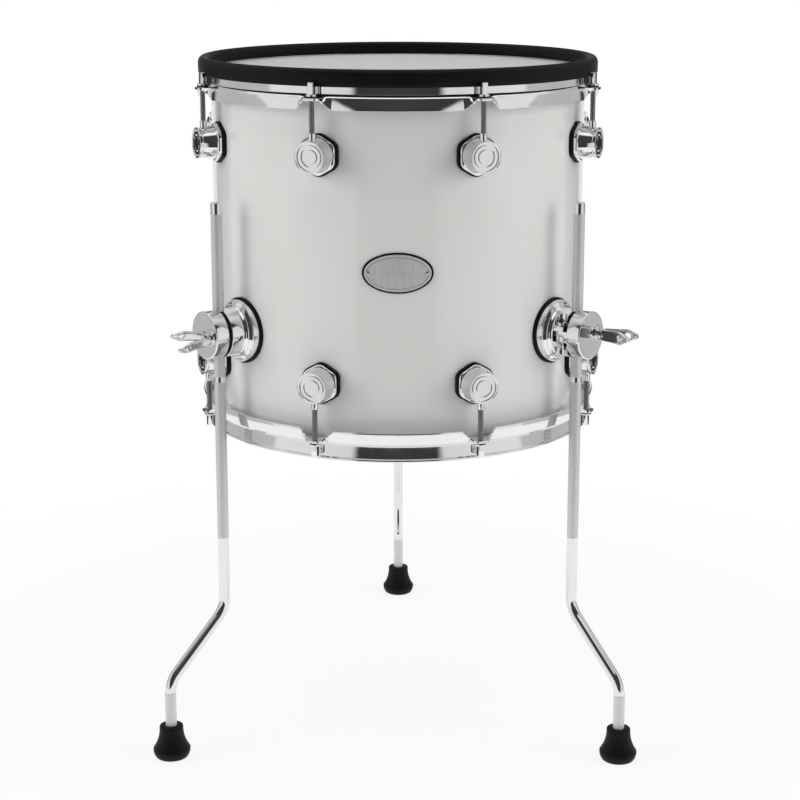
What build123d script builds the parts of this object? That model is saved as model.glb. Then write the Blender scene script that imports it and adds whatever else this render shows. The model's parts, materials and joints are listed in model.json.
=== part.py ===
from build123d import *
import os
from math import cos, radians, sin

# A 14 x 13 inch electronic floor tom that stands on three bent legs.
#
# Every piece is drawn round the drum's own axis, x = y = 0, at the front of the drum (towards -Y),
# and is then carried round to its place. At the end the whole drum is set back along Y, so that
# the origin is the middle of the floor area that the drum and its legs cover. Z = 0 is the floor.
# Azimuths are in degrees, counter-clockwise from above, 0 at the front.

INCH = 25.4

# shell
SHELL_R = 14 * INCH / 2
SHELL_DEPTH = 13 * INCH
SHELL_WALL = 7.5
SHELL_BOTTOM = 299.3
SHELL_TOP = SHELL_BOTTOM + SHELL_DEPTH
SHELL_MIDDLE = SHELL_BOTTOM + SHELL_DEPTH / 2
EDGE_ROUND = 2.0  # from the outer face in to the bearing edge's crest
SHELL_INNER_R = SHELL_R - SHELL_WALL

# heads, with the hoop that each is glued into
HEAD_THICKNESS = 0.5
FLESH_INNER_R = 179.2
FLESH_OUTER_R = 184.0
FLESH_TOP = SHELL_TOP - 6.0
FLESH_HEIGHT = 7.2

# pressed steel hoops
HOOP_STEEL = 2.3
HOOP_WALL_R = 186.9
HOOP_LIP_R = 188.3
HOOP_SKIRT_R = 190.0
HOOP_TOP = SHELL_TOP + 5.5
HOOP_LEDGE_R = 181.2
SKIRT_BOTTOM = SHELL_TOP - 22.4
EAR_TOP = SHELL_TOP - 11.5
EAR_REACH_R = 199.7
EAR_PAD = 14.0
EAR_SLOPE_WIDTH = 7.0
EAR_SLOPE_DROP = 6.0

# rubber cover on the upper hoop
COVER_R = 189.5
COVER_INNER_R = 179.9
COVER_CREST = SHELL_TOP + 13.1
COVER_BOTTOM = SHELL_TOP - 2.3
COVER_INNER_BOTTOM = SHELL_TOP + 1.2

# tuning hardware, eight of each at both heads
TUNERS = 8
FIRST_TUNER = 22.5
ROD_CIRCLE_R = 193.6
ROD_R = 2.5
ROD_CLEARANCE = 0.05
ROD_FLANGE_R = 4.9
ROD_FLANGE = 1.6
ROD_SQUARE = 5.5
ROD_HEAD_TOP = SHELL_TOP + 1.8
WASHER_R = 5.2
WASHER = 1.5

LUG_Z = SHELL_TOP - 62.5
LUG_BASE_HEIGHT = 35.6
LUG_BASE_CORNER = 9.0
LUG_GASKET_HEIGHT = 38.3
LUG_GASKET_CORNER = 9.5
LUG_SEAT_R = 181.0
LUG_BASE_R = 184.6
LUG_FACE_R = 200.8
TURRET_R = 14.3
TURRET_NECK_R = 13.6  # just behind the face's rim
TURRET_FOOT_R = 15.3
NUT_R = 3.25
NUT_REACH = 20.6  # from the lug's middle to the nut's end
LUG_SCREW_R = 2.0
LUG_SCREW_OFFSET = 9.0

# leg brackets
LEG_AZIMUTHS = {"left": -53.5, "right": 53.5, "rear": 180.0}
WING_TURNS = {"left": 38.0, "right": 0.0, "rear": -24.0}
BRACKET_Z = 397.4
SADDLE_R = 180.6  # the bracket's underside follows the shell, over a gasket
BRACKET_RIM = 184.4
BRACKET_BASE_R = 28.9
BRACKET_GASKET_R = 30.6
BRACKET_SCREW_END = 189.5
NECK_R = 22.2
NECK_START = 189.4
NECK_FACE = 202.3
JAW_INNER = 206.0
JAW_FACE = 219.2
CLAMP_SCREW_R = 3.0
CLAMP_SCREW_OFFSETS = [(x, y) for x in (-11, 11) for y in (-14, 14)]

# the clamp's hinge pin stands upright on one side of the leg, the wing bolt lies on the other
HINGE_X = -16.5
HINGE_R = 197.5
HINGE_PIN_R = 2.5
KNUCKLE = 9.9
KNUCKLE_R = 5.0
EAR_HALF = 10.0
PIN_HEAD_R = 4.0
PIN_HEAD = 2.5
BOLT_X = 12.0
BOLT_R = 3.0
BOLT_PLAY = 0.8
BOLT_POCKET_R = 8.2
BOLT_POCKET = 5.0
WING_LENGTH = 33.0
WING_SPREAD = 9.5  # degrees that each wing leans out from the bolt's axis
WING_THICKNESS = 3.0

# legs and feet
LEG_R = 10.5 / 2
LEG_CIRCLE_R = 203.9
LEG_TOP = 518.7
LEG_BEND_Z = 131.0
FOOT_BEND_Z = 73.0
LEG_BEND_RADIUS = 26.0
LEG_OFFSET = 63.5  # from a leg's upper part out to its foot
LEG_TURNS = {"left": 4.0, "right": -12.0, "rear": 0.0}  # each leg stands turned in its clamp
LEG_END = 6.0
FOOT_BASE_R = 17.5
FOOT_TOP_R = 11.0
FOOT_HEIGHT = 31.0

# badge
BADGE_SIZE = (63.3, 36.6)
BADGE_EDGE = 1.1
BADGE_SCREW_X = 26.5

# jack plate at the back, and the trigger under the upper head
JACK_AZIMUTH = 135.0
JACK_Z = 345.0
JACK_PLATE_R = 23.0
JACK_BORE_R = 3.2
BAR_AZIMUTH = 67.5
BAR_TOP = 590.0
BAR_STEEL = 1.6
BAR_WIDTH = 28.0



def foot_x(name):
    """How far a foot's middle stands to the right of the drum's axis."""
    azimuth = LEG_AZIMUTHS[name]
    return LEG_CIRCLE_R * sin(radians(azimuth)) + LEG_OFFSET * sin(radians(azimuth + LEG_TURNS[name]))


# the drum's axis stands behind the front lugs and ahead of the rear foot, and between the front feet
FOOT_CIRCLE_R = LEG_CIRCLE_R + LEG_OFFSET
AXIS_X = -(foot_x("left") + foot_x("right")) / 2
AXIS_Y = (LUG_FACE_R * cos(radians(FIRST_TUNER)) + TURRET_R * sin(radians(FIRST_TUNER))
          - FOOT_CIRCLE_R - FOOT_BASE_R) / 2

pieces = {}


def front(radius, height):
    """Plane facing forward at a distance from the axis: x to the right, y up, z away from the drum."""
    return Plane(origin=(0, -radius, height), x_dir=(1, 0, 0), z_dir=(0, -1, 0))


def spoke(height):
    """Upright plane through the axis: x is the distance from the axis, y the height."""
    return Plane(origin=(0, 0, height), x_dir=(0, -1, 0), z_dir=(-1, 0, 0))


def spoke_axis(x, height):
    """Line that points forward at a place on the drum's front."""
    return Axis((x, 0, height), (0, -1, 0))


def ring(points):
    """Solid of revolution about the drum's axis, from the corners of its section."""
    with BuildPart() as solid:
        with BuildSketch(Plane.XZ):
            with BuildLine():
                Polyline(points, close=True)
            make_face()
        revolve(axis=Axis.Z)
    return solid


def turned(piece, azimuth):
    """Copy of a piece, carried round the drum."""
    with BuildPart() as copy:
        with Locations(Location((0, 0, 0), (0, 0, azimuth))):
            add(piece.part)
    return copy


def around(piece):
    """Eight copies of a piece, one at each tuner."""
    with BuildPart() as copies:
        with PolarLocations(0, TUNERS, FIRST_TUNER):
            add(piece.part)
    return copies


def mirrored(piece):
    """The same piece at the lower head."""
    with BuildPart() as copy:
        mirror(piece.part, about=Plane.XY.offset(SHELL_MIDDLE))
    return copy


def both_heads(piece):
    """A group of pieces at the upper head and its mirror image at the lower one."""
    with BuildPart() as group:
        add(piece.part)
        mirror(piece.part, about=Plane.XY.offset(SHELL_MIDDLE))
    return group


def curved_plate(sketch_faces, height, inner_r, outer_r):
    """Plate bent to the shell, cut from a tube by an outline drawn facing forward."""
    with BuildPart() as plate:
        with BuildSketch(front(SHELL_R - 10, height)):
            add(sketch_faces)
        extrude(amount=20)
        with BuildSketch(Plane.XY.offset(height - 60)):
            Circle(outer_r)
            Circle(inner_r, mode=Mode.SUBTRACT)
        extrude(amount=120, mode=Mode.INTERSECT)
    return plate


# ---------------------------------------------------------------- screw holes and screws

def pegs(offsets, height, radius, start_r, end_r):
    """Round pegs that point forward, for screw shanks and for the holes they go in."""
    with BuildPart() as solid:
        with BuildSketch(front(start_r, height)):
            with Locations(*offsets):
                Circle(radius)
        extrude(amount=end_r - start_r)
    return solid


def screws(offsets, height, shank_r, head_r, head, seat_r, end_r):
    """Pan-head screws driven from inside the shell, with the head against seat_r."""
    with BuildPart() as solid:
        with BuildSketch(front(seat_r - head, height)):
            with Locations(*offsets):
                Circle(head_r)
        extrude(amount=head)
        fillet(solid.faces().sort_by(Axis.Y)[-len(offsets):].edges(), 0.8)
        with BuildSketch(front(seat_r, height)):
            with Locations(*offsets):
                Circle(shank_r)
        extrude(amount=end_r - seat_r)
    return solid


LUG_HOLES = [(0, LUG_SCREW_OFFSET), (0, -LUG_SCREW_OFFSET)]
JACK_HOLES = [(17 * sin(radians(a)), 17 * cos(radians(a))) for a in (0, 120, 240)]
BADGE_HOLES = [(BADGE_SCREW_X, 0), (-BADGE_SCREW_X, 0)]

# ---------------------------------------------------------------- shell

shell = ring([(SHELL_INNER_R, SHELL_BOTTOM + SHELL_WALL - EDGE_ROUND), (SHELL_R - EDGE_ROUND, SHELL_BOTTOM),
              (SHELL_R, SHELL_BOTTOM + EDGE_ROUND), (SHELL_R, SHELL_TOP - EDGE_ROUND),
              (SHELL_R - EDGE_ROUND, SHELL_TOP), (SHELL_INNER_R, SHELL_TOP - SHELL_WALL + EDGE_ROUND)])
lug_holes = both_heads(around(pegs(LUG_HOLES, LUG_Z, LUG_SCREW_R + 0.2, 165, 190)))
clamp_holes = pegs(CLAMP_SCREW_OFFSETS, BRACKET_Z, CLAMP_SCREW_R + 0.2, 160, 190)
jack_holes = pegs(JACK_HOLES, JACK_Z, 1.5, 165, 185)
jack_opening = pegs([(0, 0)], JACK_Z, 12, 165, 185)
badge_holes = pegs(BADGE_HOLES, SHELL_MIDDLE, 1.0, 165, 185)
with shell:
    add(lug_holes.part, mode=Mode.SUBTRACT)
    for azimuth in LEG_AZIMUTHS.values():
        with Locations(Location((0, 0, 0), (0, 0, azimuth))):
            add(clamp_holes.part, mode=Mode.SUBTRACT)
    with Locations(Location((0, 0, 0), (0, 0, JACK_AZIMUTH))):
        add(jack_holes.part, mode=Mode.SUBTRACT)
        add(jack_opening.part, mode=Mode.SUBTRACT)
    add(badge_holes.part, mode=Mode.SUBTRACT)
pieces["shell"] = shell

# ---------------------------------------------------------------- heads

batter_head = ring([(0, SHELL_TOP), (SHELL_R - EDGE_ROUND, SHELL_TOP), (SHELL_R + 0.6, SHELL_TOP - 2.1),
                    (SHELL_R + 1.0, FLESH_TOP), (SHELL_R + 1.8, FLESH_TOP), (SHELL_R + 1.3, SHELL_TOP - 1.8),
                    (SHELL_R - EDGE_ROUND + 0.4, SHELL_TOP + HEAD_THICKNESS), (0, SHELL_TOP + HEAD_THICKNESS)])
batter_flesh_hoop = ring([(FLESH_INNER_R, FLESH_TOP), (FLESH_OUTER_R, FLESH_TOP),
                          (FLESH_OUTER_R, FLESH_TOP - FLESH_HEIGHT), (FLESH_INNER_R, FLESH_TOP - FLESH_HEIGHT)])
pieces["batter_head"] = batter_head
pieces["batter_flesh_hoop"] = batter_flesh_hoop
pieces["resonant_head"] = mirrored(batter_head)
pieces["resonant_flesh_hoop"] = mirrored(batter_flesh_hoop)

# ---------------------------------------------------------------- hoops

WALL_INNER_R = HOOP_WALL_R - HOOP_STEEL
LEDGE_TOP = FLESH_TOP + HOOP_STEEL

batter_hoop = ring([(WALL_INNER_R, HOOP_TOP), (HOOP_LIP_R, HOOP_TOP), (HOOP_LIP_R, HOOP_TOP - HOOP_STEEL),
                    (HOOP_WALL_R, HOOP_TOP - HOOP_STEEL), (HOOP_WALL_R, EAR_TOP + 0.4),
                    (HOOP_SKIRT_R, SKIRT_BOTTOM), (HOOP_SKIRT_R - HOOP_STEEL, SKIRT_BOTTOM),
                    (WALL_INNER_R, EAR_TOP - 1.2), (WALL_INNER_R, FLESH_TOP), (HOOP_LEDGE_R, FLESH_TOP),
                    (HOOP_LEDGE_R, LEDGE_TOP), (WALL_INNER_R, LEDGE_TOP)])

# An ear is a flat pad with two sides that slope down into the skirt, pressed from the same sheet.
half_pad = EAR_PAD / 2
half_ear = half_pad + EAR_SLOPE_WIDTH
slope_end = EAR_TOP - EAR_SLOPE_DROP
with BuildPart() as ear:
    with BuildSketch(front(HOOP_WALL_R - 0.5, 0)):
        with BuildLine():
            Polyline((-half_ear - 3, SKIRT_BOTTOM), (-half_ear, slope_end), (-half_pad, EAR_TOP),
                     (half_pad, EAR_TOP), (half_ear, slope_end), (half_ear + 3, SKIRT_BOTTOM),
                     (half_ear + 3 - HOOP_STEEL, SKIRT_BOTTOM), (half_ear - 2.0, slope_end - 1.2),
                     (half_pad - 0.9, EAR_TOP - HOOP_STEEL), (0.9 - half_pad, EAR_TOP - HOOP_STEEL),
                     (2.0 - half_ear, slope_end - 1.2), (HOOP_STEEL - half_ear - 3, SKIRT_BOTTOM), close=True)
        make_face()
    extrude(amount=EAR_REACH_R - HOOP_WALL_R + 0.5)
    with BuildSketch(Plane.XY.offset(SKIRT_BOTTOM - 1)):
        with BuildLine():
            Polyline((-half_ear - 3, -HOOP_WALL_R + 2), (half_ear + 3, -HOOP_WALL_R + 2),
                     (half_ear + 3, -HOOP_SKIRT_R), (half_ear - 1, -HOOP_SKIRT_R - 1.2),
                     (half_pad, -EAR_REACH_R), (-half_pad, -EAR_REACH_R),
                     (1 - half_ear, -HOOP_SKIRT_R - 1.2), (-half_ear - 3, -HOOP_SKIRT_R), close=True)
        make_face()
    extrude(amount=EAR_TOP - SKIRT_BOTTOM + 2, mode=Mode.INTERSECT)
    fillet(ear.faces().sort_by(Axis.Y)[0].edges().filter_by(Axis.Z), 3.0)
    with BuildSketch(Plane.XY.offset(EAR_TOP + 1)):
        with Locations((0, -ROD_CIRCLE_R)):
            Circle(ROD_R + 0.5)
    extrude(amount=-HOOP_STEEL - 2, mode=Mode.SUBTRACT)
with batter_hoop:
    with PolarLocations(0, TUNERS, FIRST_TUNER):
        add(ear.part)
pieces["batter_hoop"] = batter_hoop
pieces["resonant_hoop"] = mirrored(batter_hoop)

# The cover hugs the hoop's rim, with a round crest and a skirt outside and inside.
CREST_R = (COVER_R + COVER_INNER_R) / 2
SHOULDER = COVER_CREST - 6.2
with BuildPart() as hoop_cover:
    with BuildSketch(Plane.XZ):
        with BuildLine():
            ThreePointArc((COVER_INNER_R + 0.9, SHOULDER), (CREST_R, COVER_CREST), (COVER_R, SHOULDER))
            Polyline((COVER_R, SHOULDER), (COVER_R, COVER_BOTTOM), (HOOP_WALL_R, COVER_BOTTOM),
                     (HOOP_WALL_R, HOOP_TOP - HOOP_STEEL), (HOOP_LIP_R, HOOP_TOP - HOOP_STEEL),
                     (HOOP_LIP_R, HOOP_TOP), (WALL_INNER_R, HOOP_TOP), (WALL_INNER_R, COVER_INNER_BOTTOM),
                     (COVER_INNER_R, COVER_INNER_BOTTOM), (COVER_INNER_R + 0.9, SHOULDER))
        make_face()
    revolve(axis=Axis.Z)
pieces["hoop_cover"] = hoop_cover

# ---------------------------------------------------------------- lugs

def hexagon(height, corner):
    """Outline of a lug's foot: a hexagon standing on a corner, with round corners."""
    across_corners = height / 2 + corner * (1 / cos(radians(30)) - 1)
    with BuildSketch() as outline:
        RegularPolygon(radius=across_corners, side_count=6, rotation=90)
        fillet(outline.vertices(), corner)
    return outline.sketch


with BuildPart() as lug_gasket:
    with BuildSketch(front(SHELL_R - 5, LUG_Z)):
        add(hexagon(LUG_GASKET_HEIGHT, LUG_GASKET_CORNER))
        with Locations(*LUG_HOLES):
            Circle(LUG_SCREW_R + 0.2, mode=Mode.SUBTRACT)
    extrude(amount=LUG_SEAT_R - SHELL_R + 5)
    with BuildSketch(Plane.XY.offset(LUG_Z - 30)):
        Circle(SHELL_R)
    extrude(amount=60, mode=Mode.SUBTRACT)
pieces["lug_gaskets"] = both_heads(around(lug_gasket))

with BuildPart() as lug:
    with BuildSketch(front(LUG_SEAT_R, LUG_Z)):
        add(hexagon(LUG_BASE_HEIGHT, LUG_BASE_CORNER))
    extrude(amount=LUG_BASE_R - LUG_SEAT_R)
    fillet(lug.faces().sort_by(Axis.Y)[0].edges(), 1.2)
    with BuildSketch(spoke(LUG_Z)):
        with BuildLine():
            Polyline((LUG_BASE_R - 1, 0), (LUG_BASE_R - 1, TURRET_FOOT_R + 1), (LUG_BASE_R, TURRET_FOOT_R + 1))
            ThreePointArc((LUG_BASE_R, TURRET_FOOT_R + 1), (LUG_BASE_R + 0.35, TURRET_FOOT_R + 0.35),
                          (LUG_BASE_R + 1.2, TURRET_FOOT_R))
            Polyline((LUG_BASE_R + 1.2, TURRET_FOOT_R), (LUG_FACE_R - 3.6, TURRET_NECK_R),
                     (LUG_FACE_R - 2.8, TURRET_R), (LUG_FACE_R - 0.4, TURRET_R),
                     (LUG_FACE_R, TURRET_R - 0.4), (LUG_FACE_R, TURRET_R - 1.1), (LUG_FACE_R - 0.7, TURRET_R - 1.5),
                     (LUG_FACE_R - 0.7, 0), (LUG_BASE_R - 1, 0))
        make_face()
    revolve(axis=spoke_axis(0, LUG_Z))
    for groove_r in (11.4, 7.0):
        with BuildSketch(front(LUG_FACE_R, LUG_Z)):
            Circle(groove_r + 0.35)
            Circle(groove_r - 0.35, mode=Mode.SUBTRACT)
        extrude(amount=-1.2, mode=Mode.SUBTRACT)
    with BuildSketch(Plane.XY.offset(LUG_Z - 8)):
        with Locations((0, -ROD_CIRCLE_R)):
            Circle(NUT_R)
    extrude(amount=30, mode=Mode.SUBTRACT)
    add(pegs(LUG_HOLES, LUG_Z, LUG_SCREW_R, LUG_SEAT_R - 1, LUG_SEAT_R + 7).part, mode=Mode.SUBTRACT)
batter_lugs = around(lug)
pieces["batter_lugs"] = batter_lugs
pieces["resonant_lugs"] = mirrored(batter_lugs)

NUT_TOP = LUG_Z + NUT_REACH
with BuildPart() as swivel_nut:
    with BuildSketch(Plane.XY.offset(LUG_Z - 8)):
        with Locations((0, -ROD_CIRCLE_R)):
            Circle(NUT_R)
    extrude(amount=NUT_TOP - LUG_Z + 8)
    chamfer(swivel_nut.faces().sort_by(Axis.Z)[-1].edges(), 0.4)
    with BuildSketch(Plane.XY.offset(LUG_Z - 8)):
        with Locations((0, -ROD_CIRCLE_R)):
            Circle(ROD_R + ROD_CLEARANCE)
    extrude(amount=60, mode=Mode.SUBTRACT)
pieces["swivel_nuts"] = both_heads(around(swivel_nut))

# The trigger bar's ends are held by the screws of two opposite upper lugs.
LUG_SCREW_SEAT = SHELL_INNER_R - 0.05
BAR_END_R = 169.7
lug_screw = screws(LUG_HOLES, LUG_Z, LUG_SCREW_R, 4.0, 2.6, LUG_SCREW_SEAT, LUG_SEAT_R + 6)
bar_screw = screws(LUG_HOLES, LUG_Z, LUG_SCREW_R, 4.0, 2.6, BAR_END_R - BAR_STEEL, LUG_SEAT_R + 6)
tuner_azimuths = [FIRST_TUNER + 360 / TUNERS * count for count in range(TUNERS)]
with BuildPart() as lug_screws:
    for azimuth in tuner_azimuths:
        holds_bar = azimuth in (BAR_AZIMUTH, BAR_AZIMUTH + 180)
        with Locations(Location((0, 0, 0), (0, 0, azimuth))):
            add((bar_screw if holds_bar else lug_screw).part)
    add(mirrored(around(lug_screw)).part)
pieces["lug_screws"] = lug_screws

# ---------------------------------------------------------------- tension rods

FLANGE_BOTTOM = EAR_TOP + WASHER
FLANGE_TOP = FLANGE_BOTTOM + ROD_FLANGE
with BuildPart() as tension_rod:
    with BuildSketch(Plane.XY.offset(LUG_Z - 6.5)):
        with Locations((0, -ROD_CIRCLE_R)):
            Circle(ROD_R)
    extrude(amount=FLANGE_BOTTOM - LUG_Z + 6.5)
    with BuildSketch(Plane.XY.offset(FLANGE_BOTTOM)):
        with Locations((0, -ROD_CIRCLE_R)):
            Circle(ROD_FLANGE_R)
    extrude(amount=ROD_FLANGE)
    chamfer(tension_rod.faces().sort_by(Axis.Z)[-1].edges(), 0.4)
    with BuildSketch(Plane.XY.offset(FLANGE_TOP)):
        with Locations((0, -ROD_CIRCLE_R)):
            RectangleRounded(ROD_SQUARE, ROD_SQUARE, 0.8)
    extrude(amount=ROD_HEAD_TOP - FLANGE_TOP)
    chamfer(tension_rod.faces().sort_by(Axis.Z)[-1].edges(), 0.5)
resonant_rod = mirrored(tension_rod)
for number, azimuth in enumerate(tuner_azimuths, start=1):
    pieces[f"batter_rod_{number}"] = turned(tension_rod, azimuth)
    pieces[f"resonant_rod_{number}"] = turned(resonant_rod, azimuth)

with BuildPart() as rod_washer:
    with BuildSketch(Plane.XY.offset(EAR_TOP)):
        with Locations((0, -ROD_CIRCLE_R)):
            Circle(WASHER_R)
            Circle(ROD_R + ROD_CLEARANCE, mode=Mode.SUBTRACT)
    extrude(amount=WASHER)
pieces["rod_washers"] = both_heads(around(rod_washer))

# ---------------------------------------------------------------- leg brackets

def upright(x, radius, peg_r, low, high):
    """Upright round peg at a place in front of the axis, heights counted from the bracket's middle."""
    with BuildPart() as solid:
        with BuildSketch(Plane.XY.offset(BRACKET_Z + low)):
            with Locations((x, -radius)):
                Circle(peg_r)
        extrude(amount=high - low)
    return solid


with BuildSketch() as bracket_gasket_outline:
    Circle(BRACKET_GASKET_R)
    with Locations(*CLAMP_SCREW_OFFSETS):
        Circle(CLAMP_SCREW_R + 0.2, mode=Mode.SUBTRACT)
bracket_gasket = curved_plate(bracket_gasket_outline.sketch, BRACKET_Z, SHELL_R, SADDLE_R)

with BuildPart() as bracket:
    with BuildSketch(spoke(BRACKET_Z)):
        with BuildLine():
            Polyline((SHELL_R - 10, 0), (SHELL_R - 10, BRACKET_BASE_R), (BRACKET_RIM - 0.8, BRACKET_BASE_R),
                     (BRACKET_RIM, BRACKET_BASE_R - 0.8), (BRACKET_RIM, BRACKET_BASE_R - 1.8),
                     (BRACKET_RIM + 2.4, BRACKET_BASE_R - 3.8))
            ThreePointArc((BRACKET_RIM + 2.4, BRACKET_BASE_R - 3.8), (BRACKET_RIM + 3.3, NECK_R + 1.6),
                          (NECK_START, NECK_R + 0.9))
            Polyline((NECK_START, NECK_R + 0.9), (NECK_START + 0.8, NECK_R), (NECK_FACE - 0.6, NECK_R),
                     (NECK_FACE, NECK_R - 0.6), (NECK_FACE, 0), (SHELL_R - 10, 0))
        make_face()
    revolve(axis=spoke_axis(0, BRACKET_Z))
    with BuildSketch(Plane.XY.offset(BRACKET_Z - 40)):
        Circle(SADDLE_R)
    extrude(amount=80, mode=Mode.SUBTRACT)
    add(upright(0, LEG_CIRCLE_R, LEG_R + ROD_CLEARANCE, -40, 40).part, mode=Mode.SUBTRACT)
    add(upright(HINGE_X, HINGE_R, 6.0, EAR_HALF, 40).part, mode=Mode.SUBTRACT)
    add(upright(HINGE_X, HINGE_R, 6.0, -40, -EAR_HALF).part, mode=Mode.SUBTRACT)
    add(upright(HINGE_X, HINGE_R, HINGE_PIN_R, -40, 40).part, mode=Mode.SUBTRACT)
    with BuildSketch(Plane.XY.offset(BRACKET_Z - KNUCKLE / 2 - 0.1)):
        with Locations((HINGE_X - 1, -HINGE_R - 1)):
            Rectangle(13, 14)
    extrude(amount=KNUCKLE + 0.2, mode=Mode.SUBTRACT)
    add(pegs([(BOLT_X, 0)], BRACKET_Z, BOLT_R + BOLT_PLAY, NECK_FACE - 15.3, NECK_FACE + 5).part,
        mode=Mode.SUBTRACT)
    add(pegs(CLAMP_SCREW_OFFSETS, BRACKET_Z, CLAMP_SCREW_R, SHELL_R - 10, BRACKET_SCREW_END + 1).part,
        mode=Mode.SUBTRACT)

# a rubber pad fills the gap between neck and jaw, except beside the hinge
with BuildPart() as clamp_pad:
    with BuildSketch(front(NECK_FACE, BRACKET_Z)):
        Circle(NECK_R - 0.4)
        with Locations((HINGE_X - 13.8, 0)):
            Rectangle(40, 60, mode=Mode.SUBTRACT)
        with Locations((BOLT_X, 0)):
            Circle(BOLT_R + 1.2, mode=Mode.SUBTRACT)
    extrude(amount=JAW_INNER - NECK_FACE)
    add(upright(0, LEG_CIRCLE_R, LEG_R + ROD_CLEARANCE, -40, 40).part, mode=Mode.SUBTRACT)

bracket_screws = screws(CLAMP_SCREW_OFFSETS, BRACKET_Z, CLAMP_SCREW_R, 5.0, 3.6, 169.3, BRACKET_SCREW_END)

with BuildPart() as hinge_pin:
    add(upright(HINGE_X, HINGE_R, HINGE_PIN_R, -EAR_HALF, EAR_HALF).part)
    add(upright(HINGE_X, HINGE_R, PIN_HEAD_R, EAR_HALF, EAR_HALF + PIN_HEAD).part)
    add(upright(HINGE_X, HINGE_R, PIN_HEAD_R, -EAR_HALF - PIN_HEAD, -EAR_HALF).part)

# The jaw swings on the hinge pin. Its pad beside the hinge stops short of the neck, so it can open.
JAW_GAP = 0.6
with BuildPart() as jaw:
    with BuildSketch(front(JAW_INNER, BRACKET_Z)):
        Circle(NECK_R)
    extrude(amount=JAW_FACE - JAW_INNER)
    fillet(jaw.faces().sort_by(Axis.Y)[0].edges(), 2.4)
    with BuildSketch(front(NECK_FACE + JAW_GAP, BRACKET_Z)):
        Circle(NECK_R)
        with Locations((20 - 11.0, 0)):
            Rectangle(40, 60, mode=Mode.SUBTRACT)
    extrude(amount=JAW_INNER - NECK_FACE - JAW_GAP)
    with BuildSketch(Plane.XY.offset(BRACKET_Z - KNUCKLE / 2)):
        with Locations((HINGE_X, -HINGE_R)):
            Circle(KNUCKLE_R)
        with Locations((HINGE_X, -HINGE_R - 4.5)):
            Rectangle(2 * KNUCKLE_R, 9)
    extrude(amount=KNUCKLE)
    add(upright(0, LEG_CIRCLE_R, LEG_R + ROD_CLEARANCE, -40, 40).part, mode=Mode.SUBTRACT)
    add(upright(HINGE_X, HINGE_R, HINGE_PIN_R + ROD_CLEARANCE, -40, 40).part, mode=Mode.SUBTRACT)
    add(pegs([(BOLT_X, 0)], BRACKET_Z, BOLT_POCKET_R, JAW_FACE - BOLT_POCKET, JAW_FACE + 5).part,
        mode=Mode.SUBTRACT)
    add(pegs([(BOLT_X, 0)], BRACKET_Z, BOLT_R + ROD_CLEARANCE, JAW_INNER - 5, JAW_FACE + 5).part,
        mode=Mode.SUBTRACT)

HUB_START = JAW_FACE - BOLT_POCKET + 0.05
HUB_FLANGE = JAW_FACE - 0.2
WING_ROOT = JAW_FACE + 6.4


def wing_outline():
    """Side view of one wing, root at the origin and tip along x: it swells round its hole."""
    with BuildSketch() as outline:
        with BuildLine():
            Spline((0, 4.6), (10, 4.8), (WING_LENGTH - 12, 5.6), (WING_LENGTH - 5, 4.4), (WING_LENGTH, 0),
                   (WING_LENGTH - 5, -4.4), (WING_LENGTH - 12, -5.6), (10, -4.8), (0, -4.6))
            Line((0, -4.6), (0, 4.6))
        make_face()
        with Locations((WING_LENGTH - 10, 0)):
            Circle(3.1, mode=Mode.SUBTRACT)
    return outline.sketch


with BuildPart() as wing_bolt:
    with BuildSketch(spoke(BRACKET_Z)):
        with BuildLine():
            Polyline((NECK_FACE - 13.3, 0), (NECK_FACE - 13.3, BOLT_R - 0.5), (NECK_FACE - 12.8, BOLT_R),
                     (HUB_START, BOLT_R), (HUB_START, 6.0), (HUB_FLANGE, 6.0), (HUB_FLANGE, 7.6),
                     (HUB_FLANGE + 2.2, 7.6), (HUB_FLANGE + 3.0, 6.6), (WING_ROOT + 1.0, 5.4),
                     (WING_ROOT + 2.6, 3.2), (WING_ROOT + 2.6, 0), (NECK_FACE - 13.3, 0))
        make_face()
    revolve(axis=spoke_axis(0, BRACKET_Z))
    for lean in (WING_SPREAD, -WING_SPREAD):
        side = 1 if lean > 0 else -1
        root = Vector(side * 3.4, -WING_ROOT + 1.5, BRACKET_Z)
        along = Vector(sin(radians(lean)), -cos(radians(lean)), 0)
        with BuildSketch(Plane(origin=root, x_dir=along, z_dir=Vector(along.Y, -along.X, 0))):
            add(wing_outline())
        extrude(amount=WING_THICKNESS / 2, both=True)

for name, azimuth in LEG_AZIMUTHS.items():
    pieces[f"{name}_bracket"] = turned(bracket, azimuth)
    pieces[f"{name}_jaw"] = turned(jaw, azimuth)
    with BuildPart() as placed_bolt:
        centre = Location((BOLT_X, 0, BRACKET_Z), (0, WING_TURNS[name], 0))
        with Locations(Location((0, 0, 0), (0, 0, azimuth)) * centre * Location((0, 0, -BRACKET_Z))):
            add(wing_bolt.part)
    pieces[f"{name}_wing_bolt"] = placed_bolt


def three(piece):
    """Three copies of a bracket's piece in one group."""
    with BuildPart() as group:
        for azimuth in LEG_AZIMUTHS.values():
            with Locations(Location((0, 0, 0), (0, 0, azimuth))):
                add(piece.part)
    return group


pieces["bracket_gaskets"] = three(bracket_gasket)
pieces["clamp_pads"] = three(clamp_pad)
pieces["hinge_pins"] = three(hinge_pin)
pieces["bracket_screws"] = three(bracket_screws)

# ---------------------------------------------------------------- legs and feet

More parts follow.
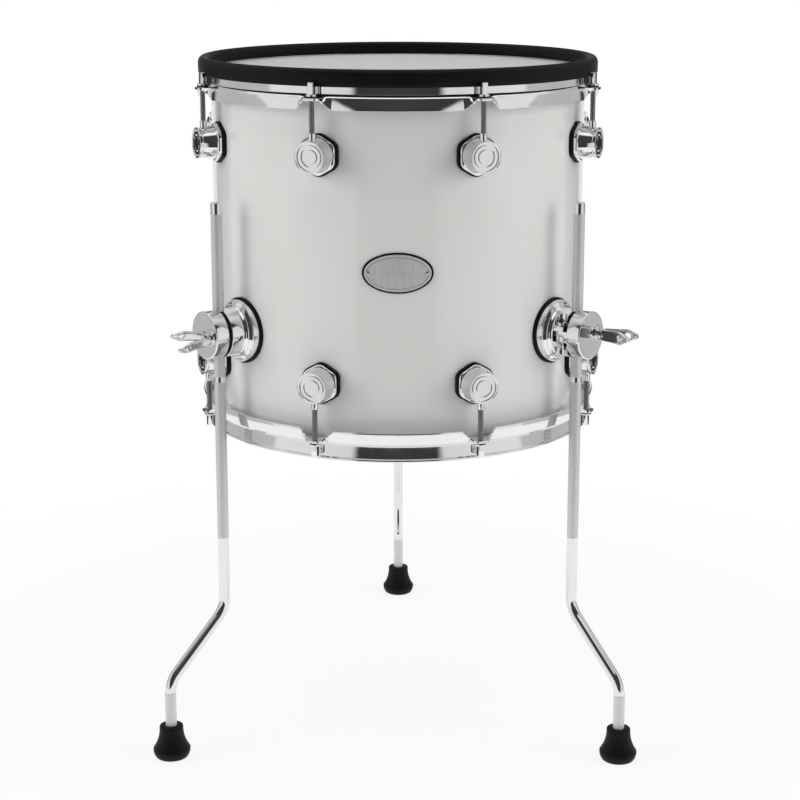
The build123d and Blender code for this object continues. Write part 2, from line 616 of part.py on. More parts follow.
with BuildPart() as leg:
    with BuildLine(spoke(0)):
        FilletPolyline((LEG_CIRCLE_R, LEG_TOP), (LEG_CIRCLE_R, LEG_BEND_Z), (FOOT_CIRCLE_R, FOOT_BEND_Z),
                       (FOOT_CIRCLE_R, LEG_END), radius=LEG_BEND_RADIUS)
    with BuildSketch(Plane(origin=(0, -LEG_CIRCLE_R, LEG_TOP), x_dir=(1, 0, 0), z_dir=(0, 0, -1))):
        Circle(LEG_R)
    sweep()
    fillet(leg.faces().sort_by(Axis.Z)[-1].edges(), 1.2)

with BuildPart() as foot:
    with BuildSketch(front(FOOT_CIRCLE_R, 0)):
        with BuildLine():
            Polyline((0, LEG_END), (0, 0), (FOOT_BASE_R - 2.4, 0))
            ThreePointArc((FOOT_BASE_R - 2.4, 0), (FOOT_BASE_R - 0.4, 2.6), (FOOT_BASE_R, 7.0))
            ThreePointArc((FOOT_BASE_R, 7.0), (FOOT_TOP_R + 2.4, 16.5), (FOOT_TOP_R + 0.2, FOOT_HEIGHT - 1.4))
            Polyline((FOOT_TOP_R + 0.2, FOOT_HEIGHT - 1.4), (FOOT_TOP_R - 1.0, FOOT_HEIGHT),
                     (LEG_R, FOOT_HEIGHT), (LEG_R, LEG_END), (0, LEG_END))
        make_face()
    revolve(axis=Axis((0, -FOOT_CIRCLE_R, 0), (0, 0, 1)))


def stood(piece, name):
    """Copy of a leg's piece, turned about the leg's upper part and carried to its bracket."""
    with BuildPart() as copy:
        in_clamp = Location((0, -LEG_CIRCLE_R, 0), (0, 0, LEG_TURNS[name])) * Location((0, LEG_CIRCLE_R, 0))
        with Locations(Location((0, 0, 0), (0, 0, LEG_AZIMUTHS[name])) * in_clamp):
            add(piece.part)
    return copy


for name in LEG_AZIMUTHS:
    pieces[f"{name}_leg"] = stood(leg, name)
    pieces[f"{name}_foot"] = stood(foot, name)

# ---------------------------------------------------------------- badge

def oval(shrink):
    """The badge's outline, drawn in by a margin."""
    with BuildSketch() as outline:
        Ellipse(BADGE_SIZE[0] / 2 - shrink, BADGE_SIZE[1] / 2 - shrink)
        with Locations(*BADGE_HOLES):
            Circle(1.0, mode=Mode.SUBTRACT)
    return outline.sketch


def oval_line(shrink, width):
    """Raised line that follows the badge's outline."""
    with BuildSketch() as outline:
        Ellipse(BADGE_SIZE[0] / 2 - shrink, BADGE_SIZE[1] / 2 - shrink)
        Ellipse(BADGE_SIZE[0] / 2 - shrink - width, BADGE_SIZE[1] / 2 - shrink - width, mode=Mode.SUBTRACT)
    return outline.sketch


PLATE_R = SHELL_R + 1.9
badge_plate = curved_plate(oval(BADGE_EDGE), SHELL_MIDDLE, SHELL_R + 0.9, PLATE_R)
with badge_plate:
    add(curved_plate(oval_line(BADGE_EDGE, 0.8), SHELL_MIDDLE, PLATE_R, PLATE_R + 0.35).part)
    add(curved_plate(oval_line(BADGE_EDGE + 7.6, 0.6), SHELL_MIDDLE, PLATE_R, PLATE_R + 0.35).part)
pieces["badge_plate"] = badge_plate
pieces["badge_gasket"] = curved_plate(oval(0), SHELL_MIDDLE, SHELL_R, SHELL_R + 0.9)

with BuildPart() as badge_screws:
    with BuildSketch(front(SHELL_R - 5, SHELL_MIDDLE)):
        with Locations(*BADGE_HOLES):
            Circle(1.0)
    extrude(amount=5.8)
    with BuildSketch(front(SHELL_R + 0.8, SHELL_MIDDLE)):
        with Locations(*BADGE_HOLES):
            Circle(1.0)
    extrude(amount=2.0)
    with BuildSketch(front(PLATE_R, SHELL_MIDDLE)):
        with Locations(*BADGE_HOLES):
            Circle(1.9)
    extrude(amount=0.9)
    chamfer(badge_screws.faces().sort_by(Axis.Y)[:2].edges(), 0.5)
pieces["badge_screws"] = badge_screws

# ---------------------------------------------------------------- jack plate

with BuildSketch() as jack_outline:
    Circle(JACK_PLATE_R)
    with Locations(*JACK_HOLES):
        Circle(1.5, mode=Mode.SUBTRACT)
    Circle(5.0, mode=Mode.SUBTRACT)
JACK_SEAT = SHELL_R + 1.8
jack_plate = curved_plate(jack_outline.sketch, JACK_Z, SHELL_R, JACK_SEAT)
pieces["jack_plate"] = turned(jack_plate, JACK_AZIMUTH)

with BuildPart() as jack_socket:
    with BuildSketch(front(JACK_SEAT - 28, JACK_Z)):
        Circle(7.5)
    extrude(amount=22)
    with BuildSketch(front(JACK_SEAT - 6, JACK_Z)):
        Circle(5.0)
    extrude(amount=9.4)
    with BuildSketch(front(JACK_SEAT, JACK_Z)):
        RegularPolygon(radius=7.4, side_count=6)
    extrude(amount=2.6)
    with BuildSketch(front(JACK_SEAT - 26, JACK_Z)):
        Circle(JACK_BORE_R)
    extrude(amount=40, mode=Mode.SUBTRACT)
pieces["jack_socket"] = turned(jack_socket, JACK_AZIMUTH)

with BuildPart() as jack_screws:
    with BuildSketch(front(SHELL_R - 5, JACK_Z)):
        with Locations(*JACK_HOLES):
            Circle(1.5)
    extrude(amount=5 + 1.8)
    with BuildSketch(front(JACK_SEAT, JACK_Z)):
        with Locations(*JACK_HOLES):
            Circle(2.8)
    extrude(amount=1.6)
    chamfer(jack_screws.faces().sort_by(Axis.Y)[:3].edges(), 0.5)
pieces["jack_screws"] = turned(jack_screws, JACK_AZIMUTH)

# ---------------------------------------------------------------- trigger under the upper head

BAR_LIP = 7.0
with BuildPart() as trigger_bar:
    with BuildSketch(Plane.XY.offset(BAR_TOP - BAR_STEEL)):
        Rectangle(BAR_WIDTH, 2 * BAR_END_R)
    extrude(amount=BAR_STEEL)
    with BuildSketch(Plane.XY.offset(BAR_TOP - BAR_LIP)):
        with Locations((BAR_WIDTH / 2 - BAR_STEEL / 2, 0), (BAR_STEEL / 2 - BAR_WIDTH / 2, 0)):
            Rectangle(BAR_STEEL, 2 * BAR_END_R - 30)
    extrude(amount=BAR_LIP - BAR_STEEL)
    with BuildSketch(Plane.XY.offset(LUG_Z - 16)):
        with Locations((0, BAR_END_R - BAR_STEEL / 2), (0, BAR_STEEL / 2 - BAR_END_R)):
            Rectangle(BAR_WIDTH, BAR_STEEL)
    extrude(amount=BAR_TOP - BAR_STEEL - LUG_Z + 16)
    with PolarLocations(0, 2):
        add(pegs(LUG_HOLES, LUG_Z, LUG_SCREW_R, 160, 175).part, mode=Mode.SUBTRACT)
pieces["trigger_bar"] = turned(trigger_bar, BAR_AZIMUTH)

SENSOR_TOP = BAR_TOP + 1.6
with BuildPart() as sensor_plate:
    with BuildSketch(Plane.XY.offset(BAR_TOP)):
        Circle(40)
    extrude(amount=SENSOR_TOP - BAR_TOP)
pieces["sensor_plate"] = sensor_plate

trigger_cone = ring([(0, SENSOR_TOP), (20, SENSOR_TOP), (20, SENSOR_TOP + 4), (7, SHELL_TOP - 0.1),
                     (0, SHELL_TOP - 0.1)])
pieces["trigger_cone"] = trigger_cone

# ---------------------------------------------------------------- set back and write

os.makedirs("parts", exist_ok=True)
for label, piece in pieces.items():
    piece.part.label = label
    piece.part.locate(Location((AXIS_X, AXIS_Y, 0)) * piece.part.location)
    export_step(piece.part, f"parts/{label}.step")
print("pieces", len(pieces), "drum axis at", round(AXIS_X, 3), round(AXIS_Y, 3))
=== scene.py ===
import json
from math import atan2, cos, hypot, pi, radians, sin, sqrt, tan

import bmesh
import bpy
from mathutils import Matrix, Vector


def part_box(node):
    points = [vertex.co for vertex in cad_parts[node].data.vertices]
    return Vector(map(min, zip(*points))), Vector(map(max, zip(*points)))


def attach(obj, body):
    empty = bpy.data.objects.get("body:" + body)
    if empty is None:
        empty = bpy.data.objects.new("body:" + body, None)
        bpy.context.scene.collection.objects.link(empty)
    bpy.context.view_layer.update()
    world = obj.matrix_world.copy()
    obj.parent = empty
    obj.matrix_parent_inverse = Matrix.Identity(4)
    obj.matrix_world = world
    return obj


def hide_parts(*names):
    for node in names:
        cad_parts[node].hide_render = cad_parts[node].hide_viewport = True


# Electronic floor tom: white shell, rubber-covered hoop, mesh head, round lugs, three clamped legs.
# The CAD nodes keep their places. The surfaces that the eye follows are rebuilt here as fine smooth
# meshes close to the CAD's outlines, and every piece gets a procedural material.

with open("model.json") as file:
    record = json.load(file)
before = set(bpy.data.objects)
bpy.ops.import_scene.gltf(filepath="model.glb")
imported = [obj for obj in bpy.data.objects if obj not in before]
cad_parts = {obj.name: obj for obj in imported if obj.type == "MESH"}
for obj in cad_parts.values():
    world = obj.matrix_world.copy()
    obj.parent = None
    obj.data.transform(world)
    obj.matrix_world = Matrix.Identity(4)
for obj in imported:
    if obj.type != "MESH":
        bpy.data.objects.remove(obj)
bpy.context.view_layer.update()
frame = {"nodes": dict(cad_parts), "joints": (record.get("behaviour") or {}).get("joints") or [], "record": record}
nodes = frame["nodes"]
joints = {joint["name"]: joint for joint in frame["joints"]}
LEGS = ("left", "right", "rear")
MM = 0.001

# ---------------------------------------------------------------- places, from the frame

TUNERS = 8
upper_ears = [Vector(joints[f"batter_rod_{k}_turn"]["pos_m"]) for k in range(1, TUNERS + 1)]
lower_ears = [Vector(joints[f"resonant_rod_{k}_turn"]["pos_m"]) for k in range(1, TUNERS + 1)]
AXIS = sum(upper_ears, Vector()) / TUNERS
AXIS.z = 0.0
ROD_CIRCLE_R = (upper_ears[0].xy - AXIS.xy).length
EAR_TOP = upper_ears[0].z
MIDDLE_Z = (EAR_TOP + lower_ears[0].z) / 2
SHELL_BOTTOM, SHELL_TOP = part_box("shell")[0].z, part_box("shell")[1].z
SHELL_R = 177.8 * MM
SHELL_WALL = 7.5 * MM
LUG_Z = (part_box("batter_lugs")[0].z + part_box("batter_lugs")[1].z) / 2
FOOT_CENTRES = {name: (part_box(f"{name}_foot")[0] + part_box(f"{name}_foot")[1]) / 2 for name in LEGS}
CLAMP_Z = joints["rear_wing_bolt_turn"]["pos_m"][2]
CLAMP_AXES = {name: Vector(joints[f"{name}_wing_bolt_turn"]["axis"]) for name in LEGS}
CLAMP_AZIMUTHS = {name: atan2(axis.x, -axis.y) for name, axis in CLAMP_AXES.items()}
LEG_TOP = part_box("rear_leg")[1].z
LEG_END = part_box("rear_leg")[0].z
LEG_R = (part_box("rear_leg")[1].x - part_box("rear_leg")[0].x) / 2
FOOT_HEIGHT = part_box("rear_foot")[1].z
FOOT_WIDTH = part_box("rear_foot")[1].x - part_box("rear_foot")[0].x


def azimuth_of(point):
    """Angle round the drum's axis, 0 at the front, counter-clockwise from above."""
    return atan2(point.x - AXIS.x, AXIS.y - point.y)


def round_drum(azimuth):
    """Matrix that carries a form drawn round the world's Z axis, front towards -Y, to its place."""
    return Matrix.Translation(AXIS) @ Matrix.Rotation(azimuth, 4, "Z")


def facing(azimuth, height, across=0.0):
    """Matrix for a form drawn along its own Z, so that Z points away from the drum's axis."""
    return (round_drum(azimuth) @ Matrix.Translation((across, 0, height))
            @ Matrix.Rotation(pi / 2, 4, "X"))


# ---------------------------------------------------------------- mesh tools

class Shape:
    """Vertices and faces gathered from several forms, made into one piece at the end."""

    def __init__(self):
        self.points = []
        self.faces = []

    def add(self, form, place=None):
        """Puts a form, (points, faces), in the shape, moved by a matrix."""
        points, faces = form
        start = len(self.points)
        self.points += [tuple(place @ Vector(p)) if place else tuple(p) for p in points]
        self.faces += [[start + i for i in face] for face in faces]
        return self

    def make(self, name, material, body, slot, replaces=(), sharp=40):
        """Makes the object, smooth except at edges sharper than the given angle."""
        mesh = bpy.data.meshes.new(name)
        mesh.from_pydata(self.points, [], self.faces)
        mesh.validate()
        mesh.update()
        mesh.polygons.foreach_set("use_smooth", [True] * len(mesh.polygons))
        mesh.set_sharp_from_angle(angle=radians(sharp))
        mesh.materials.append(material)
        piece = bpy.data.objects.new(name, mesh)
        bpy.context.scene.collection.objects.link(piece)
        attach(piece, body)
        if replaces:
            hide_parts(*replaces)
        return piece


def arc(centre, radius, start, end, steps):
    """Points on an arc, angles in degrees."""
    angles = [radians(start + (end - start) * k / steps) for k in range(steps + 1)]
    return [(centre[0] + radius * cos(a), centre[1] + radius * sin(a)) for a in angles]


def soften(corners, radius, steps=4, closed=True):
    """The outline with each corner rounded. A corner may be (x, y, its own radius)."""
    count = len(corners)
    outline = []
    for k, corner in enumerate(corners):
        here = Vector(corner[:2])
        size = corner[2] if len(corner) > 2 else radius
        if size <= 0 or (not closed and k in (0, count - 1)):
            outline.append(tuple(here))
            continue
        before = Vector(corners[k - 1][:2]) - here
        after = Vector(corners[(k + 1) % count][:2]) - here
        half = before.angle(after) / 2
        reach = min(size / tan(half), before.length * 0.49, after.length * 0.49)
        start = here + before.normalized() * reach
        end = here + after.normalized() * reach
        for step in range(steps + 1):
            t = step / steps
            outline.append(tuple(start * (1 - t) ** 2 + here * 2 * t * (1 - t) + end * t ** 2))
    return outline


def grid(rows, columns, wrap_rows, wrap_columns):
    """Quads over a grid of points stored row by row."""
    faces = []
    for i in range(rows if wrap_rows else rows - 1):
        for j in range(columns if wrap_columns else columns - 1):
            a, b = i * columns + j, i * columns + (j + 1) % columns
            c, d = ((i + 1) % rows) * columns + (j + 1) % columns, ((i + 1) % rows) * columns + j
            faces.append([a, b, c, d])
    return faces


def lathe(profile, steps, closed=False):
    """Solid of revolution about Z. A closed profile makes a ring, an open one is capped at both ends."""
    points = []
    for r, z in profile:
        points += [(r * cos(2 * pi * k / steps), r * sin(2 * pi * k / steps), z) for k in range(steps)]
    faces = grid(len(profile), steps, closed, True)
    if not closed:
        last = len(profile) - 1
        for ring_start, height, flip in ((0, profile[0][1], True), (last, profile[-1][1], False)):
            hub = len(points)
            points.append((0, 0, height))
            for k in range(steps):
                a, b = ring_start * steps + k, ring_start * steps + (k + 1) % steps
                faces.append([b, a, hub] if flip else [a, b, hub])
    return points, faces


def prism(outline, low, high, bevel):
    """Upright prism on an outline round the origin, with its upper edge rounded."""
    count = len(outline)
    levels = [(1.0, low), (1.0, high - bevel)]
    reach = max(hypot(x, y) for x, y in outline)
    for step in range(1, 5):
        turn = pi / 2 * step / 4
        levels.append((1 - bevel * (1 - cos(turn)) / reach, high - bevel + bevel * sin(turn)))
    points = [(x * scale, y * scale, z) for scale, z in levels for x, y in outline]
    faces = grid(len(levels), count, False, True)
    faces.append(list(range(count))[::-1])
    faces.append([(len(levels) - 1) * count + k for k in range(count)])
    return points, faces


def tube(path, radius, steps=40, tip=1.2 * MM):
    """Round rod along a path, with a rounded first end."""
    across = path[-1] - path[0]
    side = Vector((-across.y, across.x, 0)).normalized()
    along = (path[1] - path[0]).normalized()
    turns = [pi / 2 * k / 4 for k in range(5)]
    rings = [(path[0] + along * tip * (1 - sin(a)), radius - tip * (1 - cos(a)), along)
             for a in turns[::-1]]
    for k in range(1, len(path)):
        ahead = path[min(k + 1, len(path) - 1)] - path[k - 1]
        rings.append((path[k], radius, ahead.normalized()))
    points = []
    for centre, size, direction in rings:
        up = direction.cross(side).normalized()
        for step in range(steps):
            turn = 2 * pi * step / steps
            points.append(centre + (side * cos(turn) + up * sin(turn)) * size)
    faces = grid(len(rings), steps, False, True)
    faces.append(list(range(steps))[::-1])
    faces.append([(len(rings) - 1) * steps + k for k in range(steps)])
    return points, faces


def block(low, high):
    """Box between two corners."""
    points = [(x, y, z) for x in (low[0], high[0]) for y in (low[1], high[1]) for z in (low[2], high[2])]
    return points, [[0, 1, 3, 2], [4, 6, 7, 5], [0, 4, 5, 1], [2, 3, 7, 6], [0, 2, 6, 4], [1, 5, 7, 3]]


def moved(form, place):
    """The form carried by a matrix."""
    return [place @ Vector(p) for p in form[0]], form[1]


def hollowed(form, cutters):
    """The form with other closed forms cut out of it."""
    meshes = []
    for points, faces in (form, *cutters):
        mesh = bpy.data.meshes.new("cut")
        mesh.from_pydata([tuple(p) for p in points], [], faces)
        mesh.validate()
        work = bmesh.new()
        work.from_mesh(mesh)
        bmesh.ops.recalc_face_normals(work, faces=work.faces)
        work.to_mesh(mesh)
        work.free()
        meshes.append(mesh)
    objects = [bpy.data.objects.new("cut", mesh) for mesh in meshes]
    for item in objects:
        bpy.context.scene.collection.objects.link(item)
    for cutter in objects[1:]:
        step = objects[0].modifiers.new("cut", "BOOLEAN")
        step.operation, step.solver, step.object = "DIFFERENCE", "EXACT", cutter
    evaluated = objects[0].evaluated_get(bpy.context.evaluated_depsgraph_get())
    result = evaluated.to_mesh()
    made = [v.co.copy() for v in result.vertices], [list(p.vertices) for p in result.polygons]
    evaluated.to_mesh_clear()
    for item in objects:
        bpy.data.objects.remove(item)
    for mesh in meshes:
        bpy.data.meshes.remove(mesh)
    return made


# ---------------------------------------------------------------- material tools

def new_material(name):
    """An empty node material with its Principled shader; returns (material, nodes, links, shader)."""
    material = bpy.data.materials.new(name)
    material.use_nodes = True
    tree = material.node_tree
    return material, tree.nodes, tree.links, tree.nodes["Principled BSDF"]


def object_coordinates(tree_nodes, links, scale=(1, 1, 1)):
    """Coordinates fixed to the piece, in metres, stretched by a scale."""
    source = tree_nodes.new("ShaderNodeTexCoord")
    mapping = tree_nodes.new("ShaderNodeMapping")
    mapping.inputs["Scale"].default_value = scale
    links.new(source.outputs["Object"], mapping.inputs["Vector"])
    return mapping.outputs["Vector"]


def noise(tree_nodes, links, vector, scale, detail=2.0, roughness=0.5):
    texture = tree_nodes.new("ShaderNodeTexNoise")
    texture.inputs["Scale"].default_value = scale
    texture.inputs["Detail"].default_value = detail
    texture.inputs["Roughness"].default_value = roughness
    links.new(vector, texture.inputs["Vector"])
    return texture.outputs["Fac"]


def remap(tree_nodes, links, value, low, high, from_low=0.0, from_high=1.0):
    node = tree_nodes.new("ShaderNodeMapRange")
    node.inputs["From Min"].default_value = from_low
    node.inputs["From Max"].default_value = from_high
    node.inputs["To Min"].default_value = low
    node.inputs["To Max"].default_value = high
    links.new(value, node.inputs["Value"])
    return node.outputs["Result"]


def maths(tree_nodes, links, operation, first, second=None):
    node = tree_nodes.new("ShaderNodeMath")
    node.operation = operation
    for socket, value in zip(node.inputs, (first, second)):
        if value is None:
            continue
        if isinstance(value, (int, float)):
            socket.default_value = value
        else:
            links.new(value, socket)
    return node.outputs[0]


def mix_colour(tree_nodes, links, factor, first, second):
    node = tree_nodes.new("ShaderNodeMix")
    node.data_type = "RGBA"
    links.new(factor, node.inputs["Factor"])
    node.inputs["A"].default_value = (*first, 1)
    node.inputs["B"].default_value = (*second, 1)
    return node.outputs["Result"]


def bump(tree_nodes, links, shader, height, distance, strength=1.0):
    node = tree_nodes.new("ShaderNodeBump")
    node.inputs["Strength"].default_value = strength
    node.inputs["Distance"].default_value = distance
    links.new(height, node.inputs["Height"])
    links.new(node.outputs["Normal"], shader.inputs["Normal"])
    return node


def chrome_material():
    """Polished chrome plate: mirror-like, with faint haze and the slow waves of buffed metal."""
    material, tree_nodes, links, shader = new_material("chrome")
    vector = object_coordinates(tree_nodes, links)
    shader.inputs["Metallic"].default_value = 1.0
    haze = noise(tree_nodes, links, vector, 90, 3)
    links.new(mix_colour(tree_nodes, links, haze, (0.80, 0.81, 0.83), (0.86, 0.87, 0.88)),
              shader.inputs["Base Color"])
    links.new(remap(tree_nodes, links, haze, 0.03, 0.09), shader.inputs["Roughness"])
    bump(tree_nodes, links, shader, noise(tree_nodes, links, vector, 160, 1), 0.00004, 0.25)
    return material


def lacquer_material():
    """Gloss off-white lacquer over maple: deep coat, faint orange peel, slight warmth in places."""
    material, tree_nodes, links, shader = new_material("shell_lacquer")
    vector = object_coordinates(tree_nodes, links)
    tone = noise(tree_nodes, links, vector, 7, 2)
    links.new(mix_colour(tree_nodes, links, tone, (0.800, 0.787, 0.765), (0.825, 0.813, 0.793)),
              shader.inputs["Base Color"])
    shader.inputs["Roughness"].default_value = 0.42
    shader.inputs["Coat Weight"].default_value = 1.0
    shader.inputs["Coat Roughness"].default_value = 0.06
    shader.inputs["Coat IOR"].default_value = 1.5
    bump(tree_nodes, links, shader, noise(tree_nodes, links, vector, 260, 2), 0.00003, 0.3)
    return material


def rubber_material(name, shade, roughness, grain):
    """Moulded black rubber with a fine grain and dusty, slightly lighter patches."""
    material, tree_nodes, links, shader = new_material(name)
    vector = object_coordinates(tree_nodes, links)
    dust = noise(tree_nodes, links, vector, 45, 4, 0.6)
    dark = tuple(shade * part for part in (1.0, 1.0, 1.04))
    light = tuple(shade * 1.7 * part for part in (1.0, 1.0, 1.04))
    links.new(mix_colour(tree_nodes, links, remap(tree_nodes, links, dust, 0, 1, 0.4, 0.75), dark, light),
              shader.inputs["Base Color"])
    links.new(remap(tree_nodes, links, dust, roughness - 0.06, roughness + 0.08),
              shader.inputs["Roughness"])
    shader.inputs["Specular IOR Level"].default_value = 0.16
    bump(tree_nodes, links, shader, noise(tree_nodes, links, vector, grain, 3, 0.6), 0.00012, 0.35)
    return material


THREAD_PITCH = 0.9 * MM  # from thread to thread of the mesh head


def mesh_head_material():
    """Woven polyester mesh: crossing threads, in a cool light grey."""
    material, tree_nodes, links, shader = new_material("mesh_head")
    vector = object_coordinates(tree_nodes, links)
    split = tree_nodes.new("ShaderNodeSeparateXYZ")
    links.new(vector, split.inputs["Vector"])
    phases = [maths(tree_nodes, links, "MULTIPLY", split.outputs[axis], 2 * pi / THREAD_PITCH)
              for axis in ("X", "Y")]
    waves = [maths(tree_nodes, links, "SINE", phase) for phase in phases]
    weave = maths(tree_nodes, links, "MAXIMUM", *waves)
    tone = noise(tree_nodes, links, vector, 25, 3)
    holes = remap(tree_nodes, links, weave, 0.0, 1.0, -0.6, 0.5)
    base = mix_colour(tree_nodes, links, holes, (0.50, 0.51, 0.53), (0.79, 0.80, 0.825))
    blend = tree_nodes.new("ShaderNodeMix")
    blend.data_type = "RGBA"
    blend.blend_type = "MULTIPLY"
    blend.inputs["Factor"].default_value = 0.25
    links.new(base, blend.inputs["A"])
    links.new(mix_colour(tree_nodes, links, tone, (0.9, 0.9, 0.9), (1, 1, 1)), blend.inputs["B"])
    links.new(blend.outputs["Result"], shader.inputs["Base Color"])
    shader.inputs["Roughness"].default_value = 0.6
    shader.inputs["Sheen Weight"].default_value = 0.15
    bump(tree_nodes, links, shader, weave, 0.0001, 0.5)
    return material


def film_material():
    """Coated plastic film of the lower head."""
    material, tree_nodes, links, shader = new_material("resonant_film")
    vector = object_coordinates(tree_nodes, links)
    grain = noise(tree_nodes, links, vector, 700, 3)
    links.new(mix_colour(tree_nodes, links, grain, (0.70, 0.70, 0.69), (0.76, 0.76, 0.75)),
              shader.inputs["Base Color"])
    shader.inputs["Roughness"].default_value = 0.5
    bump(tree_nodes, links, shader, grain, 0.00005, 0.3)
    return material


def steel_material(name, low, high, roughness, stretch):
    """Plain steel or aluminium with fine drawn lines along one direction."""
    material, tree_nodes, links, shader = new_material(name)
    vector = object_coordinates(tree_nodes, links, stretch)
    lines = noise(tree_nodes, links, vector, 900, 2, 0.6)
    shader.inputs["Metallic"].default_value = 1.0
    links.new(mix_colour(tree_nodes, links, lines, (low,) * 3, (high, high, high * 1.01)),
              shader.inputs["Base Color"])
    links.new(remap(tree_nodes, links, lines, roughness - 0.08, roughness + 0.08),
              shader.inputs["Roughness"])
    bump(tree_nodes, links, shader, lines, 0.00003, 0.3)
    return material


LEG_TIP = 10.5 * MM  # polished length at the top of a leg
POLISHED_BAND = (352 * MM, 357 * MM)  # heights of the thin band in the knurled length
KNURL_END = 201.5 * MM  # the leg is polished from here down through its bends
STUB_TOP = 64 * MM  # and satin again below this height, down to its foot


def leg_material():
    """Leg rod: knurled satin steel, polished at its tip, at one thin band and through its bends."""
    material, tree_nodes, links, shader = new_material("leg_steel")
    source = tree_nodes.new("ShaderNodeTexCoord")
    split = tree_nodes.new("ShaderNodeSeparateXYZ")
    links.new(source.outputs["Object"], split.inputs["Vector"])
    height = split.outputs["Z"]

    def between(low, high):
        above = maths(tree_nodes, links, "GREATER_THAN", height, low)
        below = maths(tree_nodes, links, "LESS_THAN", height, high)
        return maths(tree_nodes, links, "MULTIPLY", above, below)

    upper = between(POLISHED_BAND[1], LEG_TOP - LEG_TIP)
    middle = between(KNURL_END, POLISHED_BAND[0])
    stub = between(0.0, STUB_TOP)
    satin = maths(tree_nodes, links, "ADD", maths(tree_nodes, links, "ADD", upper, middle), stub)
    knurl = tree_nodes.new("ShaderNodeTexVoronoi")
    knurl.inputs["Scale"].default_value = 700
    links.new(source.outputs["Object"], knurl.inputs["Vector"])
    grain = knurl.outputs["Distance"]
    links.new(remap(tree_nodes, links, satin, 1.0, 0.5), shader.inputs["Metallic"])
    links.new(mix_colour(tree_nodes, links, satin, (0.80, 0.81, 0.82), (0.68, 0.685, 0.69)),
              shader.inputs["Base Color"])
    links.new(remap(tree_nodes, links, satin, 0.09, 0.46), shader.inputs["Roughness"])
    relief = maths(tree_nodes, links, "MULTIPLY", grain, satin)
    bump(tree_nodes, links, shader, relief, 0.0004, 0.7)
    return material


def badge_material():
    """Brushed silver badge: fine lines run down it under a clear lacquer."""
    material, tree_nodes, links, shader = new_material("badge_metal")
    lines = noise(tree_nodes, links, object_coordinates(tree_nodes, links, (1, 1, 0.06)), 900, 2, 0.6)
    shader.inputs["Metallic"].default_value = 0.35
    links.new(mix_colour(tree_nodes, links, lines, (0.50, 0.50, 0.51), (0.76, 0.76, 0.77)),
              shader.inputs["Base Color"])
    links.new(remap(tree_nodes, links, lines, 0.32, 0.5), shader.inputs["Roughness"])
    bump(tree_nodes, links, shader, lines, 0.00003, 0.4)
    return material


def nylon_material():
    """Black nylon with a fine moulded grain."""
    material, tree_nodes, links, shader = new_material("black_nylon")
    vector = object_coordinates(tree_nodes, links)
    grain = noise(tree_nodes, links, vector, 1500, 2)
    links.new(mix_colour(tree_nodes, links, grain, (0.012, 0.012, 0.013), (0.022, 0.022, 0.023)),
              shader.inputs["Base Color"])
    shader.inputs["Roughness"].default_value = 0.4
    bump(tree_nodes, links, shader, grain, 0.00003, 0.3)
    return material


def foam_material():
    """Dark foam with small round cells."""
    material, tree_nodes, links, shader = new_material("foam")
    cells = tree_nodes.new("ShaderNodeTexVoronoi")
    cells.inputs["Scale"].default_value = 1100
    links.new(object_coordinates(tree_nodes, links), cells.inputs["Vector"])
    links.new(mix_colour(tree_nodes, links, cells.outputs["Distance"], (0.03, 0.03, 0.032),
                         (0.09, 0.09, 0.095)), shader.inputs["Base Color"])
    shader.inputs["Roughness"].default_value = 0.9
    bump(tree_nodes, links, shader, cells.outputs["Distance"], 0.0002, 0.6)
    return material


materials = {
    "chrome": chrome_material(),
    "shell_lacquer": lacquer_material(),
    "mesh_head": mesh_head_material(),
    "resonant_film": film_material(),
    "black_rubber": rubber_material("black_rubber", 0.0032, 0.5, 1400),
    "black_nylon": nylon_material(),
    "aluminium": steel_material("aluminium", 0.62, 0.74, 0.35, (1, 1, 0.1)),
    "zinc_steel": steel_material("zinc_steel", 0.50, 0.66, 0.38, (1, 1, 0.3)),
    "badge_metal": badge_material(),
    "leg_steel": leg_material(),
    "foam": foam_material(),
}
for part in frame["record"]["subparts"]:
    node = nodes[part["node"]]
    node.data.materials.clear()
    node.data.materials.append(materials[part["material_slot"]])
    node.data.polygons.foreach_set("use_smooth", [True] * len(node.data.polygons))
    node.data.set_sharp_from_angle(angle=radians(30))

# ---------------------------------------------------------------- shell and heads

EDGE = 2.0 * MM  # from the shell's outer face in to the crest of its bearing edge
shell_section = [(SHELL_R - SHELL_WALL, SHELL_BOTTOM + SHELL_WALL - EDGE), (SHELL_R - EDGE, SHELL_BOTTOM),
                 (SHELL_R, SHELL_BOTTOM + EDGE), (SHELL_R, MIDDLE_Z), (SHELL_R, SHELL_TOP - EDGE),
                 (SHELL_R - EDGE, SHELL_TOP), (SHELL_R - SHELL_WALL, SHELL_TOP - SHELL_WALL + EDGE)]
Shape().add(lathe(soften(shell_section, 0.7 * MM), 288, closed=True), Matrix.Translation(AXIS)).make(
    "shell_lacquered", materials["shell_lacquer"], "drum", "shell_lacquer", ["shell"])

FLESH_TOP = SHELL_TOP - 6.0 * MM
HEAD_THICKNESS = 0.5 * MM


def head_section():
    """Section of a head, from its middle over the bearing edge and down into its hoop."""
    top = [(0, SHELL_TOP + HEAD_THICKNESS), (SHELL_R - EDGE + 0.4 * MM, SHELL_TOP + HEAD_THICKNESS),
           (SHELL_R + 1.3 * MM, SHELL_TOP - 1.8 * MM), (SHELL_R + 1.8 * MM, FLESH_TOP)]
    under = [(SHELL_R + 1.0 * MM, FLESH_TOP), (SHELL_R + 0.6 * MM, SHELL_TOP - 2.1 * MM),
             (SHELL_R - EDGE, SHELL_TOP), (0, SHELL_TOP)]
    return soften(top + under, 0.8 * MM, closed=False)


def disc_lathe(profile, steps):
    """Solid of revolution whose profile starts and ends on the axis."""
    return lathe([(max(r, 0.0), z) for r, z in profile if r > 1e-6], steps)


